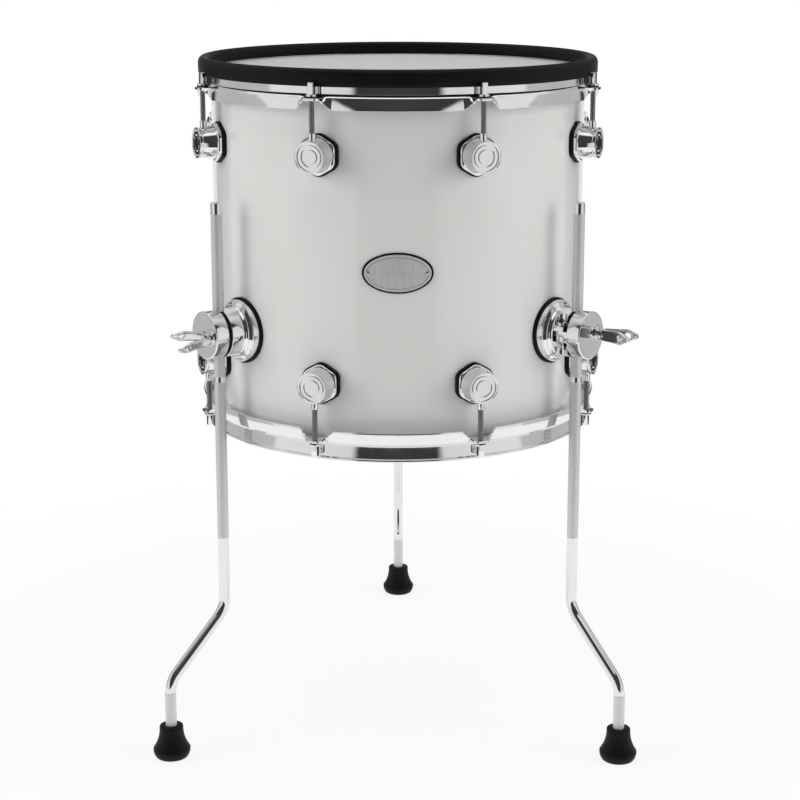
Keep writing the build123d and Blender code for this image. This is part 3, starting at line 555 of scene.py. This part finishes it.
Shape().add(disc_lathe(head_section(), 256), Matrix.Translation(AXIS)).make(
    "mesh_head", materials["mesh_head"], "drum", "mesh_head", ["batter_head"])

# ---------------------------------------------------------------- hoops

STEEL = 2.3 * MM
WALL_R = 186.9 * MM
LIP_R = 188.3 * MM
SKIRT_R = 191.3 * MM
EAR_REACH_R = 199.7 * MM
HOOP_TOP = SHELL_TOP + 5.5 * MM
SKIRT_BOTTOM = SHELL_TOP - 22.4 * MM
HALF_PAD = 7.0 * MM
EAR_CORNER = 3.0 * MM
HALF_EAR = 14.8 * MM  # from an ear's middle to the end of the slopes beside it
EAR_DROP = 8.8 * MM
EAR_FADE = 3.0 * MM
EAR_STEP = 0.5 * MM
EAR_STEPS = 36  # on each side of an ear's middle
PLAIN_STEPS = 28  # between one ear and the next
SHOULDER_R = 190.2 * MM  # the sheet leans out from the wall to here before the skirt drops
LEDGE = 2.9 * MM


def smooth_step(x):
    """Eases from 0 to 1 as x goes from 0 to 1."""
    x = min(max(x, 0.0), 1.0)
    return x * x * (3 - 2 * x)


def ear_edge(across):
    """Where the pressed sheet ends, (radius, height), at a distance across from an ear's middle."""
    across = abs(across)
    plain = (SKIRT_R, SKIRT_BOTTOM)
    slope_end = (SKIRT_R + 0.4 * MM, EAR_TOP - EAR_DROP)
    if across <= HALF_PAD:
        corner = max(0.0, across - HALF_PAD + EAR_CORNER)
        return EAR_REACH_R - (EAR_CORNER - sqrt(max(0.0, EAR_CORNER ** 2 - corner ** 2))), EAR_TOP
    if across <= HALF_EAR:
        t = (across - HALF_PAD) / (HALF_EAR - HALF_PAD)
        start_r = EAR_REACH_R - EAR_CORNER
        return start_r + (slope_end[0] - start_r) * t, EAR_TOP + (slope_end[1] - EAR_TOP) * t
    t = smooth_step((across - HALF_EAR) / EAR_FADE)
    return slope_end[0] + (plain[0] - slope_end[0]) * t, slope_end[1] + (plain[1] - slope_end[1]) * t


def hoop_columns():
    """Azimuths for the hoop's sections, close together at the ears."""
    ear_steps = [k * EAR_STEP for k in range(-EAR_STEPS, EAR_STEPS + 1)]
    columns = []
    for point in upper_ears:
        middle = azimuth_of(point)
        columns += [(middle + across / ROD_CIRCLE_R, across) for across in ear_steps]
        gap = 2 * pi / TUNERS - 2 * ear_steps[-1] / ROD_CIRCLE_R
        columns += [(middle + ear_steps[-1] / ROD_CIRCLE_R + gap * k / PLAIN_STEPS, None)
                    for k in range(1, PLAIN_STEPS)]
    return columns


def hoop_form():
    """Pressed steel hoop: lip, wall, and a skirt that swells into eight flat ears."""
    points = []
    columns = hoop_columns()
    for azimuth, across in columns:
        edge_r, edge_z = ear_edge(across) if across is not None else (SKIRT_R, SKIRT_BOTTOM)
        shoulder = (SHOULDER_R, EAR_TOP)
        out = Vector((edge_r - shoulder[0], edge_z - shoulder[1])).normalized()
        under = Vector((out.y, -out.x)) * STEEL
        if under.y > 0:
            under = -under
        inner_r = WALL_R - STEEL
        under_z = EAR_TOP + min(under.y, -0.6 * STEEL) - 0.4 * MM
        section = [(inner_r, HOOP_TOP, 0.8 * MM), (LIP_R, HOOP_TOP, 0.9 * MM),
                   (LIP_R, HOOP_TOP - STEEL, 0.7 * MM),
                   (WALL_R, HOOP_TOP - STEEL - 0.6 * MM, 0.6 * MM), (WALL_R, EAR_TOP + LEDGE, 0.5 * MM),
                   (*shoulder, 0.8 * MM), (edge_r, edge_z, 0.5 * MM),
                   (edge_r + under.x, edge_z + under.y, 0.5 * MM), (inner_r, under_z, 1.0 * MM)]
        outline = soften(section, 0.5 * MM, 5)
        spoke_dir = Vector((sin(azimuth), -cos(azimuth), 0))
        points += [AXIS + spoke_dir * r + Vector((0, 0, z)) for r, z in outline]
    faces = grid(len(columns), len(points) // len(columns), True, True)
    return points, faces


upside_down = Matrix.Translation((0, 0, 2 * MIDDLE_Z)) @ Matrix.Scale(-1, 4, (0, 0, 1))
hoop = hoop_form()
Shape().add(hoop).make("upper_hoop", materials["chrome"], "drum", "chrome", ["batter_hoop"], sharp=50)
Shape().add(hoop, upside_down).make(
    "lower_hoop", materials["chrome"], "drum", "chrome", ["resonant_hoop"], sharp=50)

COVER_R = 189.5 * MM
COVER_INNER_R = 179.9 * MM
COVER_CREST = SHELL_TOP + 13.1 * MM
COVER_BOTTOM = SHELL_TOP - 2.3 * MM
COVER_INNER_BOTTOM = SHELL_TOP + 1.2 * MM


def cover_section():
    """The rubber cover: round crest, outer skirt with a soft lower lip, inner side down to the head."""
    middle_r = (COVER_R + COVER_INNER_R) / 2 + 0.2 * MM
    half = (COVER_R - COVER_INNER_R) / 2
    shoulder = COVER_CREST - half * 1.3
    crest = [(middle_r - half * cos(radians(a)), shoulder + half * 1.3 * sin(radians(a)))
             for a in range(0, 181, 12)]
    outside = [(COVER_R + 0.1 * MM, shoulder - 4 * MM), (COVER_R, COVER_BOTTOM + 0.9 * MM),
               (COVER_R - 0.8 * MM, COVER_BOTTOM), (WALL_R, COVER_BOTTOM)]
    slot = [(WALL_R, HOOP_TOP - STEEL), (LIP_R, HOOP_TOP - STEEL), (LIP_R, HOOP_TOP),
            (WALL_R - STEEL, HOOP_TOP), (WALL_R - STEEL, COVER_INNER_BOTTOM + 0.6 * MM)]
    inside = [(COVER_INNER_R + 0.6 * MM, COVER_INNER_BOTTOM), (COVER_INNER_R, COVER_INNER_BOTTOM + 1 * MM)]
    return crest + outside + slot + inside


Shape().add(lathe(cover_section(), 288, closed=True), Matrix.Translation(AXIS)).make(
    "rubber_hoop_cover", materials["black_rubber"], "drum", "black_rubber", ["hoop_cover"], sharp=50)

# ---------------------------------------------------------------- lugs

LUG_SEAT_R = 181.0 * MM
LUG_BASE_R = 184.6 * MM
LUG_FACE_R = 200.8 * MM
TURRET_R = 14.3 * MM
TURRET_NECK_R = 13.6 * MM
TURRET_FOOT_R = 15.3 * MM
LUG_BASE_HEIGHT = 35.6 * MM
LUG_BASE_CORNER = 9.0 * MM
GROOVES = (11.4 * MM, 7.4 * MM)  # radii of the two rings cut in a lug's face
GROOVE_DEPTH = 1.5 * MM


def hexagon(height, corner):
    """Rounded hexagon that stands on a corner."""
    reach = height / 2 + corner * (1 / cos(radians(30)) - 1)
    corners = [(reach * cos(radians(90 + 60 * k)), reach * sin(radians(90 + 60 * k))) for k in range(6)]
    return soften(corners, corner, 8)


def turret_section():
    """Half section of a lug's turret: hollow foot, slightly conical body, rim and grooved face."""
    foot = LUG_BASE_R - 1 * MM
    neck = LUG_FACE_R - 3.6 * MM
    body = [(TURRET_FOOT_R + 1 * MM, foot), (TURRET_FOOT_R + 1 * MM, LUG_BASE_R),
            (TURRET_FOOT_R + 0.3 * MM, LUG_BASE_R + 0.4 * MM), (TURRET_FOOT_R, LUG_BASE_R + 1.2 * MM),
            (TURRET_NECK_R, neck), (TURRET_NECK_R, neck + 0.3 * MM), (TURRET_R, neck + 0.9 * MM)]
    rim = soften([(TURRET_R, neck + 1.0 * MM), (TURRET_R, LUG_FACE_R), (TURRET_R - 1.1 * MM, LUG_FACE_R),
                  (TURRET_R - 1.5 * MM, LUG_FACE_R - 0.5 * MM)], 0.5 * MM, 4, closed=False)
    face_z = LUG_FACE_R - 0.5 * MM
    face = []
    for groove in GROOVES:
        face += [(groove + 0.75 * MM, face_z), (groove + 0.6 * MM, face_z - GROOVE_DEPTH),
                 (groove - 0.6 * MM, face_z - GROOVE_DEPTH), (groove - 0.75 * MM, face_z)]
    return body + rim + face + [(0.5 * MM, face_z)]


def lug_forms(shape, azimuth, height):
    """Adds one lug, foot and turret, to a shape."""
    place = facing(azimuth, height)
    shape.add(prism(hexagon(LUG_BASE_HEIGHT, LUG_BASE_CORNER), LUG_SEAT_R, LUG_BASE_R, 1.6 * MM), place)
    shape.add(lathe(turret_section(), 72), place)


for label, height, node in (("upper_lugs", LUG_Z, "batter_lugs"),
                            ("lower_lugs", 2 * MIDDLE_Z - LUG_Z, "resonant_lugs")):
    lugs = Shape()
    for ear in upper_ears:
        lug_forms(lugs, azimuth_of(ear), height)
    lugs.make(label, materials["chrome"], "drum", "chrome", [node], sharp=35)

# ---------------------------------------------------------------- legs and feet

LEG_CIRCLE_R = 203.9 * MM
LEG_BEND_Z = 131.0 * MM
FOOT_BEND_Z = 73.0 * MM
LEG_BEND_R = 26.0 * MM
FOOT_TOP_R = 11.1 * MM
FOOT_MARGIN = 0.3 * MM  # keeps a foot's widest ring inside the CAD foot


def leg_path(name):
    """Middle line of a leg, from its top through both bends into the foot."""
    upper = round_drum(CLAMP_AZIMUTHS[name]) @ Vector((0, -LEG_CIRCLE_R, 0))
    out = FOOT_CENTRES[name] - upper
    out.z = 0.0
    corners = [(0, LEG_TOP), (0, LEG_BEND_Z), (out.length, FOOT_BEND_Z), (out.length, LEG_END)]
    route = soften(corners, LEG_BEND_R, 16, closed=False)
    return [upper + out.normalized() * x + Vector((0, 0, z)) for x, z in route]


def foot_section():
    """Half section of a rubber foot: round sole, swelling flank, straight collar."""
    base, top = FOOT_WIDTH / 2 - FOOT_MARGIN, FOOT_TOP_R
    swell = 8.2 * MM
    sole = [(0.4 * MM, 0), (base - 3.4 * MM, 0), (base - 2.4 * MM, 0.5 * MM), (base - 1.1 * MM, 2.6 * MM),
            (base - 0.2 * MM, 5.2 * MM), (base, swell)]
    flank = []
    for k in range(1, 15):
        t = k / 14
        flank.append((top + (base - top) * (1 - t) ** 2.3, swell + t * (FOOT_HEIGHT - 1.6 * MM - swell)))
    crown = [(top - 0.4 * MM, FOOT_HEIGHT - 0.5 * MM), (top - 1.4 * MM, FOOT_HEIGHT), (LEG_R, FOOT_HEIGHT),
             (LEG_R, LEG_END), (0.4 * MM, LEG_END)]
    return sole + flank + crown


for name in LEGS:
    Shape().add(tube(leg_path(name), LEG_R)).make(
        f"{name}_leg_rod", materials["leg_steel"], f"{name}_leg", "leg_steel", [f"{name}_leg"])
    centre = Matrix.Translation((FOOT_CENTRES[name].x, FOOT_CENTRES[name].y, 0))
    Shape().add(lathe(foot_section(), 64), centre).make(
        f"{name}_rubber_foot", materials["black_rubber"], f"{name}_leg", "black_rubber",
        [f"{name}_foot"])

# ---------------------------------------------------------------- leg brackets

BRACKET_START = 176.5 * MM
BRACKET_RIM = 184.4 * MM
BRACKET_BASE_R = 28.9 * MM
NECK_R = 22.2 * MM
NECK_START = 189.4 * MM
NECK_FACE = 202.3 * MM
JAW_INNER = 206.0 * MM
JAW_FACE = 219.2 * MM
HINGE = (-16.5 * MM, -197.5 * MM)
KNUCKLE_HALF = 4.95 * MM
KNUCKLE_R = 4.95 * MM
ARM_HALF = 4.9 * MM
PIN_SEAT_R = 6.0 * MM
HINGE_EAR_HALF = 10.0 * MM  # half the height of the bracket's two hinge ears
BORE_GAP = 0.05 * MM  # between a leg and its channel
SLOT_GAP = 0.1 * MM  # between the knuckle and the slot that it turns in
CHANNEL_HALF = 40.0 * MM  # the channel and the seats run out past the clamp
BOLT_X = 12.0 * MM
POCKET_R = 7.9 * MM
POCKET = 5.0 * MM


def lying(x=0.0):
    """Carries a form drawn along Z so that it points out of the drum's front at the clamps' height."""
    return Matrix.Translation((x, 0, CLAMP_Z)) @ Matrix.Rotation(pi / 2, 4, "X")


def peg(x, y, radius, low, high):
    """Upright cylinder, heights counted from the clamp's middle."""
    upright = lathe([(radius, CLAMP_Z + low), (radius, CLAMP_Z + high)], 64)
    return moved(upright, Matrix.Translation((x, y, 0)))


LEG_BORE = peg(0, -LEG_CIRCLE_R, LEG_R + BORE_GAP, -CHANNEL_HALF, CHANNEL_HALF)


def bracket_form():
    """Bracket body: rim, bevel, hollow cone and neck, with the leg's channel and the hinge's slot."""
    rim = [(0.4 * MM, BRACKET_START), (BRACKET_BASE_R, BRACKET_START),
           (BRACKET_BASE_R, BRACKET_RIM, 0.9 * MM),
           (BRACKET_BASE_R - 1.8 * MM, BRACKET_RIM, 0.1 * MM),
           (BRACKET_BASE_R - 3.8 * MM, BRACKET_RIM + 2.4 * MM, 0.3 * MM)]
    start = (BRACKET_BASE_R - 3.8 * MM, BRACKET_RIM + 2.4 * MM)
    end = (NECK_R + 0.9 * MM, NECK_START)
    cone = [(start[0] + (end[0] - start[0]) * t ** 0.6, start[1] + (end[1] - start[1]) * t ** 1.5)
            for t in [k / 8 for k in range(1, 9)]]
    neck = [(NECK_R, NECK_START + 0.8 * MM, 0.2 * MM), (NECK_R, NECK_FACE, 0.6 * MM), (0.4 * MM, NECK_FACE)]
    body = soften(rim, 0, 4, closed=False) + cone + soften(neck, 0, 4, closed=False)
    slot = block((HINGE[0] - 7.5 * MM, HINGE[1] - 8 * MM, CLAMP_Z - KNUCKLE_HALF - SLOT_GAP),
                 (HINGE[0] + 5.5 * MM, HINGE[1] + 6 * MM, CLAMP_Z + KNUCKLE_HALF + SLOT_GAP))
    seats = [peg(*HINGE, PIN_SEAT_R, HINGE_EAR_HALF, CHANNEL_HALF),
             peg(*HINGE, PIN_SEAT_R, -CHANNEL_HALF, -HINGE_EAR_HALF)]
    return hollowed(moved(lathe(body, 128), lying()), [LEG_BORE, slot, *seats])


def jaw_form():
    """Swinging jaw: thick disc with rounded edges, the leg's channel and the bolt's pocket."""
    disc = [(0.4 * MM, JAW_INNER), (NECK_R, JAW_INNER, 0.5 * MM), (NECK_R, JAW_FACE, 1.3 * MM),
            (0.4 * MM, JAW_FACE)]
    pocket = moved(lathe([(POCKET_R, JAW_FACE - POCKET), (POCKET_R, JAW_FACE + 5 * MM)], 64), lying(BOLT_X))
    return hollowed(moved(lathe(soften(disc, 0, 8, closed=False), 128), lying()), [LEG_BORE, pocket])


def jaw_hinge():
    """Arm and knuckle that carry the jaw on its pin."""
    arm = block((HINGE[0] - ARM_HALF, -JAW_INNER - 0.2 * MM, CLAMP_Z - KNUCKLE_HALF),
                (HINGE[0] + ARM_HALF, HINGE[1], CLAMP_Z + KNUCKLE_HALF))
    return peg(*HINGE, KNUCKLE_R, -KNUCKLE_HALF, KNUCKLE_HALF), arm


# how far each wing bolt stands turned, counter-clockwise as seen from outside the drum
WING_TURNS = {"left": radians(-38), "right": 0.0, "rear": radians(24)}
WING_ROOT = JAW_FACE + 6.4 * MM
WING_LENGTH = 33.0 * MM
WING_SPREAD = radians(9.5)  # how far each wing leans out from the bolt's axis
WING_HALF = 1.5 * MM  # half a wing's thickness
WING_HOLE_R = 3.0 * MM
WING_HOLE_X = WING_LENGTH - 10 * MM
# upper edge of a wing, in mm: distance from its root, height over its middle
WING_EDGE = [(0, 4.8), (7, 5.0), (14, 5.3), (19, 5.8), (23, 5.9), (26, 4.9), (28.5, 3.4), (31, 2.5),
             (32.8, 1.6)]


def wing_form():
    """One wing, root at the origin and tip along X: flat plate with a raised border and a round hole."""
    upper = [(x * MM, y * MM) for x, y in WING_EDGE]
    outline = soften(upper + [(x, -y) for x, y in upper[::-1]], 1.2 * MM, 3)
    hub = Vector((WING_HOLE_X, 0))
    spokes = [Vector((x, y)) - hub for x, y in outline]
    levels = [(0.0, 0.6), (0.25, 0.9), (0.7, 1.0), (1.5, 1.0), (2.0, 0.62)]
    rings = []
    for inset, rise in levels:
        rings.append([(hub + s * (1 - inset * MM / s.length), WING_HALF * rise) for s in spokes])
    for reach, rise in ((0.9, 0.62), (0.6, 1.0), (0.2, 1.0), (0.0, 0.85)):
        rings.append([(hub + s.normalized() * (WING_HOLE_R + reach * MM), WING_HALF * rise) for s in spokes])
    rings += [[(p, -rise) for p, rise in ring] for ring in rings[::-1]]
    points = [(p.x, p.y, rise) for ring in rings for p, rise in ring]
    return points, grid(len(rings), len(outline), True, True)


def wing_bolt_forms():
    """Bolt with ringed hub and two wings, drawn with its axis along Z from the drum's axis."""
    neck, jaw_face, root = NECK_FACE / MM, JAW_FACE / MM, WING_ROOT / MM
    hub = [(0.4, neck - 13.3), (2.6, neck - 13.3), (3, neck - 12.8),
           (3, jaw_face - 4.9), (6.0, jaw_face - 4.9), (6.0, jaw_face - 0.2),
           (7.6, jaw_face - 0.2, 0.3), (7.6, jaw_face + 2.0, 0.7), (5.6, jaw_face + 2.0, 0.2),
           (5.2, jaw_face + 1.2, 0.3), (4.7, jaw_face + 1.9, 0.3), (5.3, root + 0.8, 0.8),
           (3.4, root + 2.4, 0.8), (0.4, root + 2.5)]
    forms = [moved(lathe(soften(hub, 0, 4, closed=False), 64), Matrix.Scale(MM, 4))]
    for side in (1, -1):
        plate = (Matrix.Translation((side * 3.4 * MM, 0, WING_ROOT - 1.5 * MM))
                 @ Matrix.Rotation(side * WING_SPREAD, 4, "Y") @ Matrix.Rotation(-pi / 2, 4, "Y"))
        forms.append(moved(wing_form(), plate))
    return forms


cast_chrome = steel_material("cast_chrome", 0.70, 0.82, 0.16, (1, 1, 1))
bracket_body, jaw_body, bolt_forms = bracket_form(), jaw_form(), wing_bolt_forms()
for name in LEGS:
    place = round_drum(CLAMP_AZIMUTHS[name])
    Shape().add(bracket_body, place).make(
        f"{name}_bracket_body", materials["chrome"], "drum", "chrome", [f"{name}_bracket"], sharp=35)
    jaw = Shape().add(jaw_body, place)
    for form in jaw_hinge():
        jaw.add(form, place)
    jaw.make(f"{name}_jaw_disc", materials["chrome"], f"{name}_jaw", "chrome", [f"{name}_jaw"], sharp=35)
    bolt = Shape()
    for form in bolt_forms:
        bolt.add(form, place @ lying(BOLT_X) @ Matrix.Rotation(WING_TURNS[name], 4, "Z"))
    bolt.make(f"{name}_winged_bolt", cast_chrome, f"{name}_wing_bolt", "chrome",
              [f"{name}_wing_bolt"], sharp=35)

# ---------------------------------------------------------------- tension rods and nuts

ROD_R = 2.5 * MM
WASHER = 1.5 * MM
FLANGE_BOTTOM = EAR_TOP + WASHER
ROD_HEAD_TOP = SHELL_TOP + 1.8 * MM
THREAD = 1.0 * MM
FLANGE_R = 4.9 * MM
HALF_SQUARE = 2.75 * MM
NUT_R = 3.25 * MM
NUT_REACH = 20.6 * MM  # from a lug's middle to its nut's end
NUT_DEPTH = 8.0 * MM
NUT_GAP = 0.12 * MM  # between a rod and its nut


def shank_section():
    """Half section of a rod's threaded shank."""
    low = LUG_Z - 6.5 * MM
    section = [(0.3 * MM, low), (ROD_R - 0.6 * MM, low)]
    for k in range(int((FLANGE_BOTTOM - 1 * MM - low) / THREAD)):
        z = low + 0.4 * MM + k * THREAD
        section += [(ROD_R - 0.38 * MM, z), (ROD_R, z + THREAD * 0.42), (ROD_R, z + THREAD * 0.58)]
    return section + [(ROD_R - 0.2 * MM, FLANGE_BOTTOM + 0.5 * MM), (0.3 * MM, FLANGE_BOTTOM + 0.5 * MM)]


def collar_section():
    """Half section of the round collar under a rod's head."""
    top = FLANGE_BOTTOM + 1.6 * MM
    return soften([(0.3 * MM, FLANGE_BOTTOM), (FLANGE_R, FLANGE_BOTTOM), (FLANGE_R, top, 0.5 * MM),
                   (0.3 * MM, top)], 0, 4, closed=False)


def rod_head():
    """Square head, standing on the collar."""
    half = HALF_SQUARE
    outline = soften([(half, half), (-half, half), (-half, -half), (half, -half)], 0.8 * MM, 4)
    return prism(outline, FLANGE_BOTTOM + 1.4 * MM, ROD_HEAD_TOP, 0.6 * MM)


def nut_section():
    """Half section of a swivel nut's neck above its lug."""
    low, top = LUG_Z - NUT_DEPTH, LUG_Z + NUT_REACH
    bore = ROD_R + NUT_GAP
    return soften([(bore, low), (NUT_R, low), (NUT_R, top, 0.4 * MM), (bore, top)], 0, 4)


rod_steel = steel_material("rod_steel", 0.24, 0.40, 0.30, (1, 1, 0.3))
nuts = Shape()
for number, ear in enumerate(upper_ears, start=1):
    place = round_drum(azimuth_of(ear)) @ Matrix.Translation((0, -ROD_CIRCLE_R, 0))
    for label, flip in (("batter", Matrix()), ("resonant", upside_down)):
        body = f"{label}_rod_{number}"
        Shape().add(lathe(shank_section(), 40), flip @ place).make(
            f"{body}_shank", rod_steel, body, "chrome", [body], sharp=35)
        Shape().add(lathe(collar_section(), 40), flip @ place).add(rod_head(), flip @ place).make(
            f"{body}_head", materials["chrome"], body, "chrome", sharp=35)
        nuts.add(lathe(nut_section(), 40, closed=True), flip @ place)
nuts.make("nut_necks", materials["chrome"], "drum", "chrome", ["swivel_nuts"], sharp=35)

# ---------------------------------------------------------------- badge

BADGE_LOW, BADGE_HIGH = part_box("badge_plate")
BADGE_HALF = Vector((BADGE_HIGH.x - BADGE_LOW.x, BADGE_HIGH.z - BADGE_LOW.z)) / 2
BADGE_Z = (BADGE_LOW.z + BADGE_HIGH.z) / 2
BADGE_FACE_R = AXIS.y - BADGE_LOW.y
BADGE_SCREW_X = 26.5 * MM
# (how far in from the badge's edge, how far below its face), in mm: rim, line pressed round it, face
BADGE_STEPS = [(0.6, 1.4), (0.6, 0.25), (0.8, 0.0), (2.6, 0.0), (2.75, 0.6), (3.35, 0.6), (3.5, 0.0)]
BADGE_SIDES = 120


def badge_form():
    """Oval plate bent round the shell, with a pressed line inside its rim."""
    middles = [(BADGE_HALF.y / MM * part, 0.0) for part in (0.35, 0.6, 0.8, 0.95)]
    points = []
    for inset, depth in BADGE_STEPS + middles:
        for k in range(BADGE_SIDES):
            turn = 2 * pi * k / BADGE_SIDES
            across = (BADGE_HALF.x - inset * MM) * cos(turn)
            rise = (BADGE_HALF.y - inset * MM) * sin(turn)
            points.append(on_shell(across, BADGE_Z + rise, BADGE_FACE_R - depth * MM))
    rings = len(BADGE_STEPS + middles)
    faces = grid(rings, BADGE_SIDES, False, True)
    faces.append([(rings - 1) * BADGE_SIDES + k for k in range(BADGE_SIDES)])
    faces.append(list(range(BADGE_SIDES))[::-1])
    return points, faces


def on_shell(across, height, radius):
    """Point at a distance across the front, measured round the shell."""
    turn = across / BADGE_FACE_R
    return AXIS + Vector((radius * sin(turn), -radius * cos(turn), height))


def screw_section():
    """Half section of a badge screw's domed head."""
    base = BADGE_FACE_R - 1 * MM
    dome = [(2.1, 0.1), (1.95, 0.35), (1.6, 0.6), (1.1, 0.8), (0.6, 0.9), (0.2, 0.95)]
    head = [(r * MM, BADGE_FACE_R + rise * MM) for r, rise in dome]
    return [(0.2 * MM, base), (2.1 * MM, base)] + head


Shape().add(badge_form()).make(
    "badge_oval", materials["badge_metal"], "drum", "badge_metal", ["badge_plate"], sharp=30)
badge_screws = Shape()
for side in (1, -1):
    badge_screws.add(lathe(screw_section(), 32), facing(side * BADGE_SCREW_X / BADGE_FACE_R, BADGE_Z))
badge_screws.make("badge_screw_heads", materials["zinc_steel"], "drum", "zinc_steel", ["badge_screws"])

# ---------------------------------------------------------------- floor, light and camera

FLOOR_R = 0.98
FLOOR_SIDES = 96
FLOOR_GLOW = 0.86  # share of the floor under the drum that glows by itself
FLOOR_FADE = (0.30, 0.75)  # distances from the origin between which that share grows to all of it
BACKDROP = 1.0


def white_floor():
    """Round floor that takes a faint shadow, and whose rim glows as white as the background."""
    mesh = bpy.data.meshes.new("floor")
    turns = [2 * pi * k / FLOOR_SIDES for k in range(FLOOR_SIDES)]
    rim = [(AXIS.x + FLOOR_R * cos(turn), AXIS.y + FLOOR_R * sin(turn), 0) for turn in turns]
    mesh.from_pydata(rim, [], [list(range(FLOOR_SIDES))])
    floor = bpy.data.objects.new("floor", mesh)
    bpy.context.scene.collection.objects.link(floor)
    material, tree_nodes, links, shader = new_material("floor")
    source = tree_nodes.new("ShaderNodeTexCoord")
    length = tree_nodes.new("ShaderNodeVectorMath")
    length.operation = "LENGTH"
    links.new(source.outputs["Object"], length.inputs[0])
    fade = tree_nodes.new("ShaderNodeMapRange")
    fade.interpolation_type = "SMOOTHSTEP"
    fade.inputs["From Min"].default_value, fade.inputs["From Max"].default_value = FLOOR_FADE
    fade.inputs["To Min"].default_value = FLOOR_GLOW
    links.new(length.outputs["Value"], fade.inputs["Value"])
    shader.inputs["Base Color"].default_value = (0.93, 0.93, 0.93, 1)
    shader.inputs["Roughness"].default_value = 0.6
    shader.inputs["Specular IOR Level"].default_value = 0.15
    glow = tree_nodes.new("ShaderNodeEmission")
    glow.inputs["Color"].default_value = (BACKDROP, BACKDROP, BACKDROP, 1)
    mix = tree_nodes.new("ShaderNodeMixShader")
    links.new(fade.outputs["Result"], mix.inputs["Fac"])
    links.new(shader.outputs["BSDF"], mix.inputs[1])
    links.new(glow.outputs["Emission"], mix.inputs[2])
    links.new(mix.outputs["Shader"], tree_nodes["Material Output"].inputs["Surface"])
    mesh.materials.append(material)


# What chrome sees round the studio, by the angle from the camera's side in degrees: the dark room
# behind the camera, a long white screen on each side, a grey wall, a dark gap and the backdrop.
STUDIO = [(0, 0.05), (23, 0.04), (27, 0.74), (50, 0.80), (76, 0.84), (79, 0.55), (100, 0.50), (123, 0.54),
          (127, 0.03), (147, 0.03), (153, 0.85), (180, 0.95)]
# heights on the unit sphere between which the walls give way to the ceiling screen
CEILING = (0.78, 0.86)
LEAN = 1.4  # how fast the dark room widens above the horizon, in radians over the unit height


def studio_world():
    """The studio round the drum, and plain white where the camera looks past it."""
    world = bpy.data.worlds.new("studio")
    bpy.context.scene.world = world
    world.use_nodes = True
    tree = world.node_tree
    tree_nodes, links = tree.nodes, tree.links
    source = tree_nodes.new("ShaderNodeTexCoord")
    split = tree_nodes.new("ShaderNodeSeparateXYZ")
    links.new(source.outputs["Generated"], split.inputs["Vector"])
    turn = maths(tree_nodes, links, "ARCTAN2", split.outputs["X"],
                 maths(tree_nodes, links, "MULTIPLY", split.outputs["Y"], -1.0))
    above = maths(tree_nodes, links, "MAXIMUM", split.outputs["Z"], 0.0)
    lean = maths(tree_nodes, links, "MULTIPLY", above, LEAN)
    around = maths(tree_nodes, links, "SUBTRACT", maths(tree_nodes, links, "ABSOLUTE", turn), lean)
    screens = tree_nodes.new("ShaderNodeValToRGB")
    ramp = screens.color_ramp
    ramp.elements.remove(ramp.elements[1])
    for k, (angle, value) in enumerate(STUDIO):
        element = ramp.elements[0] if k == 0 else ramp.elements.new(angle / 180)
        element.position = angle / 180
        element.color = (value, value, value, 1)
    links.new(remap(tree_nodes, links, around, 0, 1, 0, pi), screens.inputs["Fac"])
    ceiling = tree_nodes.new("ShaderNodeMix")
    ceiling.data_type = "RGBA"
    links.new(remap(tree_nodes, links, split.outputs["Z"], 0, 1, *CEILING), ceiling.inputs["Factor"])
    links.new(screens.outputs["Color"], ceiling.inputs["A"])
    ceiling.inputs["B"].default_value = (1.05, 1.05, 1.05, 1)
    lit = tree_nodes["Background"]
    links.new(ceiling.outputs["Result"], lit.inputs["Color"])
    seen = tree_nodes.new("ShaderNodeBackground")
    seen.inputs["Color"].default_value = (BACKDROP, BACKDROP, BACKDROP, 1)
    path = tree_nodes.new("ShaderNodeLightPath")
    mix = tree_nodes.new("ShaderNodeMixShader")
    links.new(path.outputs["Is Camera Ray"], mix.inputs["Fac"])
    links.new(lit.outputs["Background"], mix.inputs[1])
    links.new(seen.outputs["Background"], mix.inputs[2])
    links.new(mix.outputs["Shader"], tree_nodes["World Output"].inputs["Surface"])


def softbox(name, place, target, size, power):
    """A large soft light that neither the camera nor the chrome sees."""
    light = bpy.data.lights.new(name, "AREA")
    light.shape = "RECTANGLE"
    light.size, light.size_y = size
    light.energy = power
    lamp = bpy.data.objects.new(name, light)
    lamp.location = place
    lamp.rotation_euler = (Vector(target) - Vector(place)).to_track_quat("-Z", "Y").to_euler()
    lamp.visible_camera = False
    lamp.visible_glossy = False
    bpy.context.scene.collection.objects.link(lamp)


white_floor()
studio_world()
centre = AXIS + Vector((0, 0, MIDDLE_Z))
LIGHT_OFFSET = Vector((2.3, -1.1, 0.7))  # from the drum's middle to the softbox on the right
LIGHT_SIZE = (1.4, 1.8)
KEY_POWER, FILL_POWER = 26, 25
softbox("key", centre + Vector((-LIGHT_OFFSET.x, *LIGHT_OFFSET.yz)), centre, LIGHT_SIZE, KEY_POWER)
softbox("fill", centre + LIGHT_OFFSET, centre, LIGHT_SIZE, FILL_POWER)

CAMERA_OFFSET = Vector((0.002, -1.746, 0.766))  # from the drum's axis on the floor
CAMERA_TILT = radians(12.36)  # below the horizon
camera = bpy.data.cameras.new("camera")
camera.sensor_width = 36
camera.lens = 81.84
camera.shift_y = -0.10
viewer = bpy.data.objects.new("camera", camera)
viewer.location = AXIS + CAMERA_OFFSET
viewer.rotation_euler = (pi / 2 - CAMERA_TILT, 0, 0)
bpy.context.scene.collection.objects.link(viewer)
bpy.context.scene.camera = viewer
bpy.context.scene.view_settings.view_transform = "Standard"
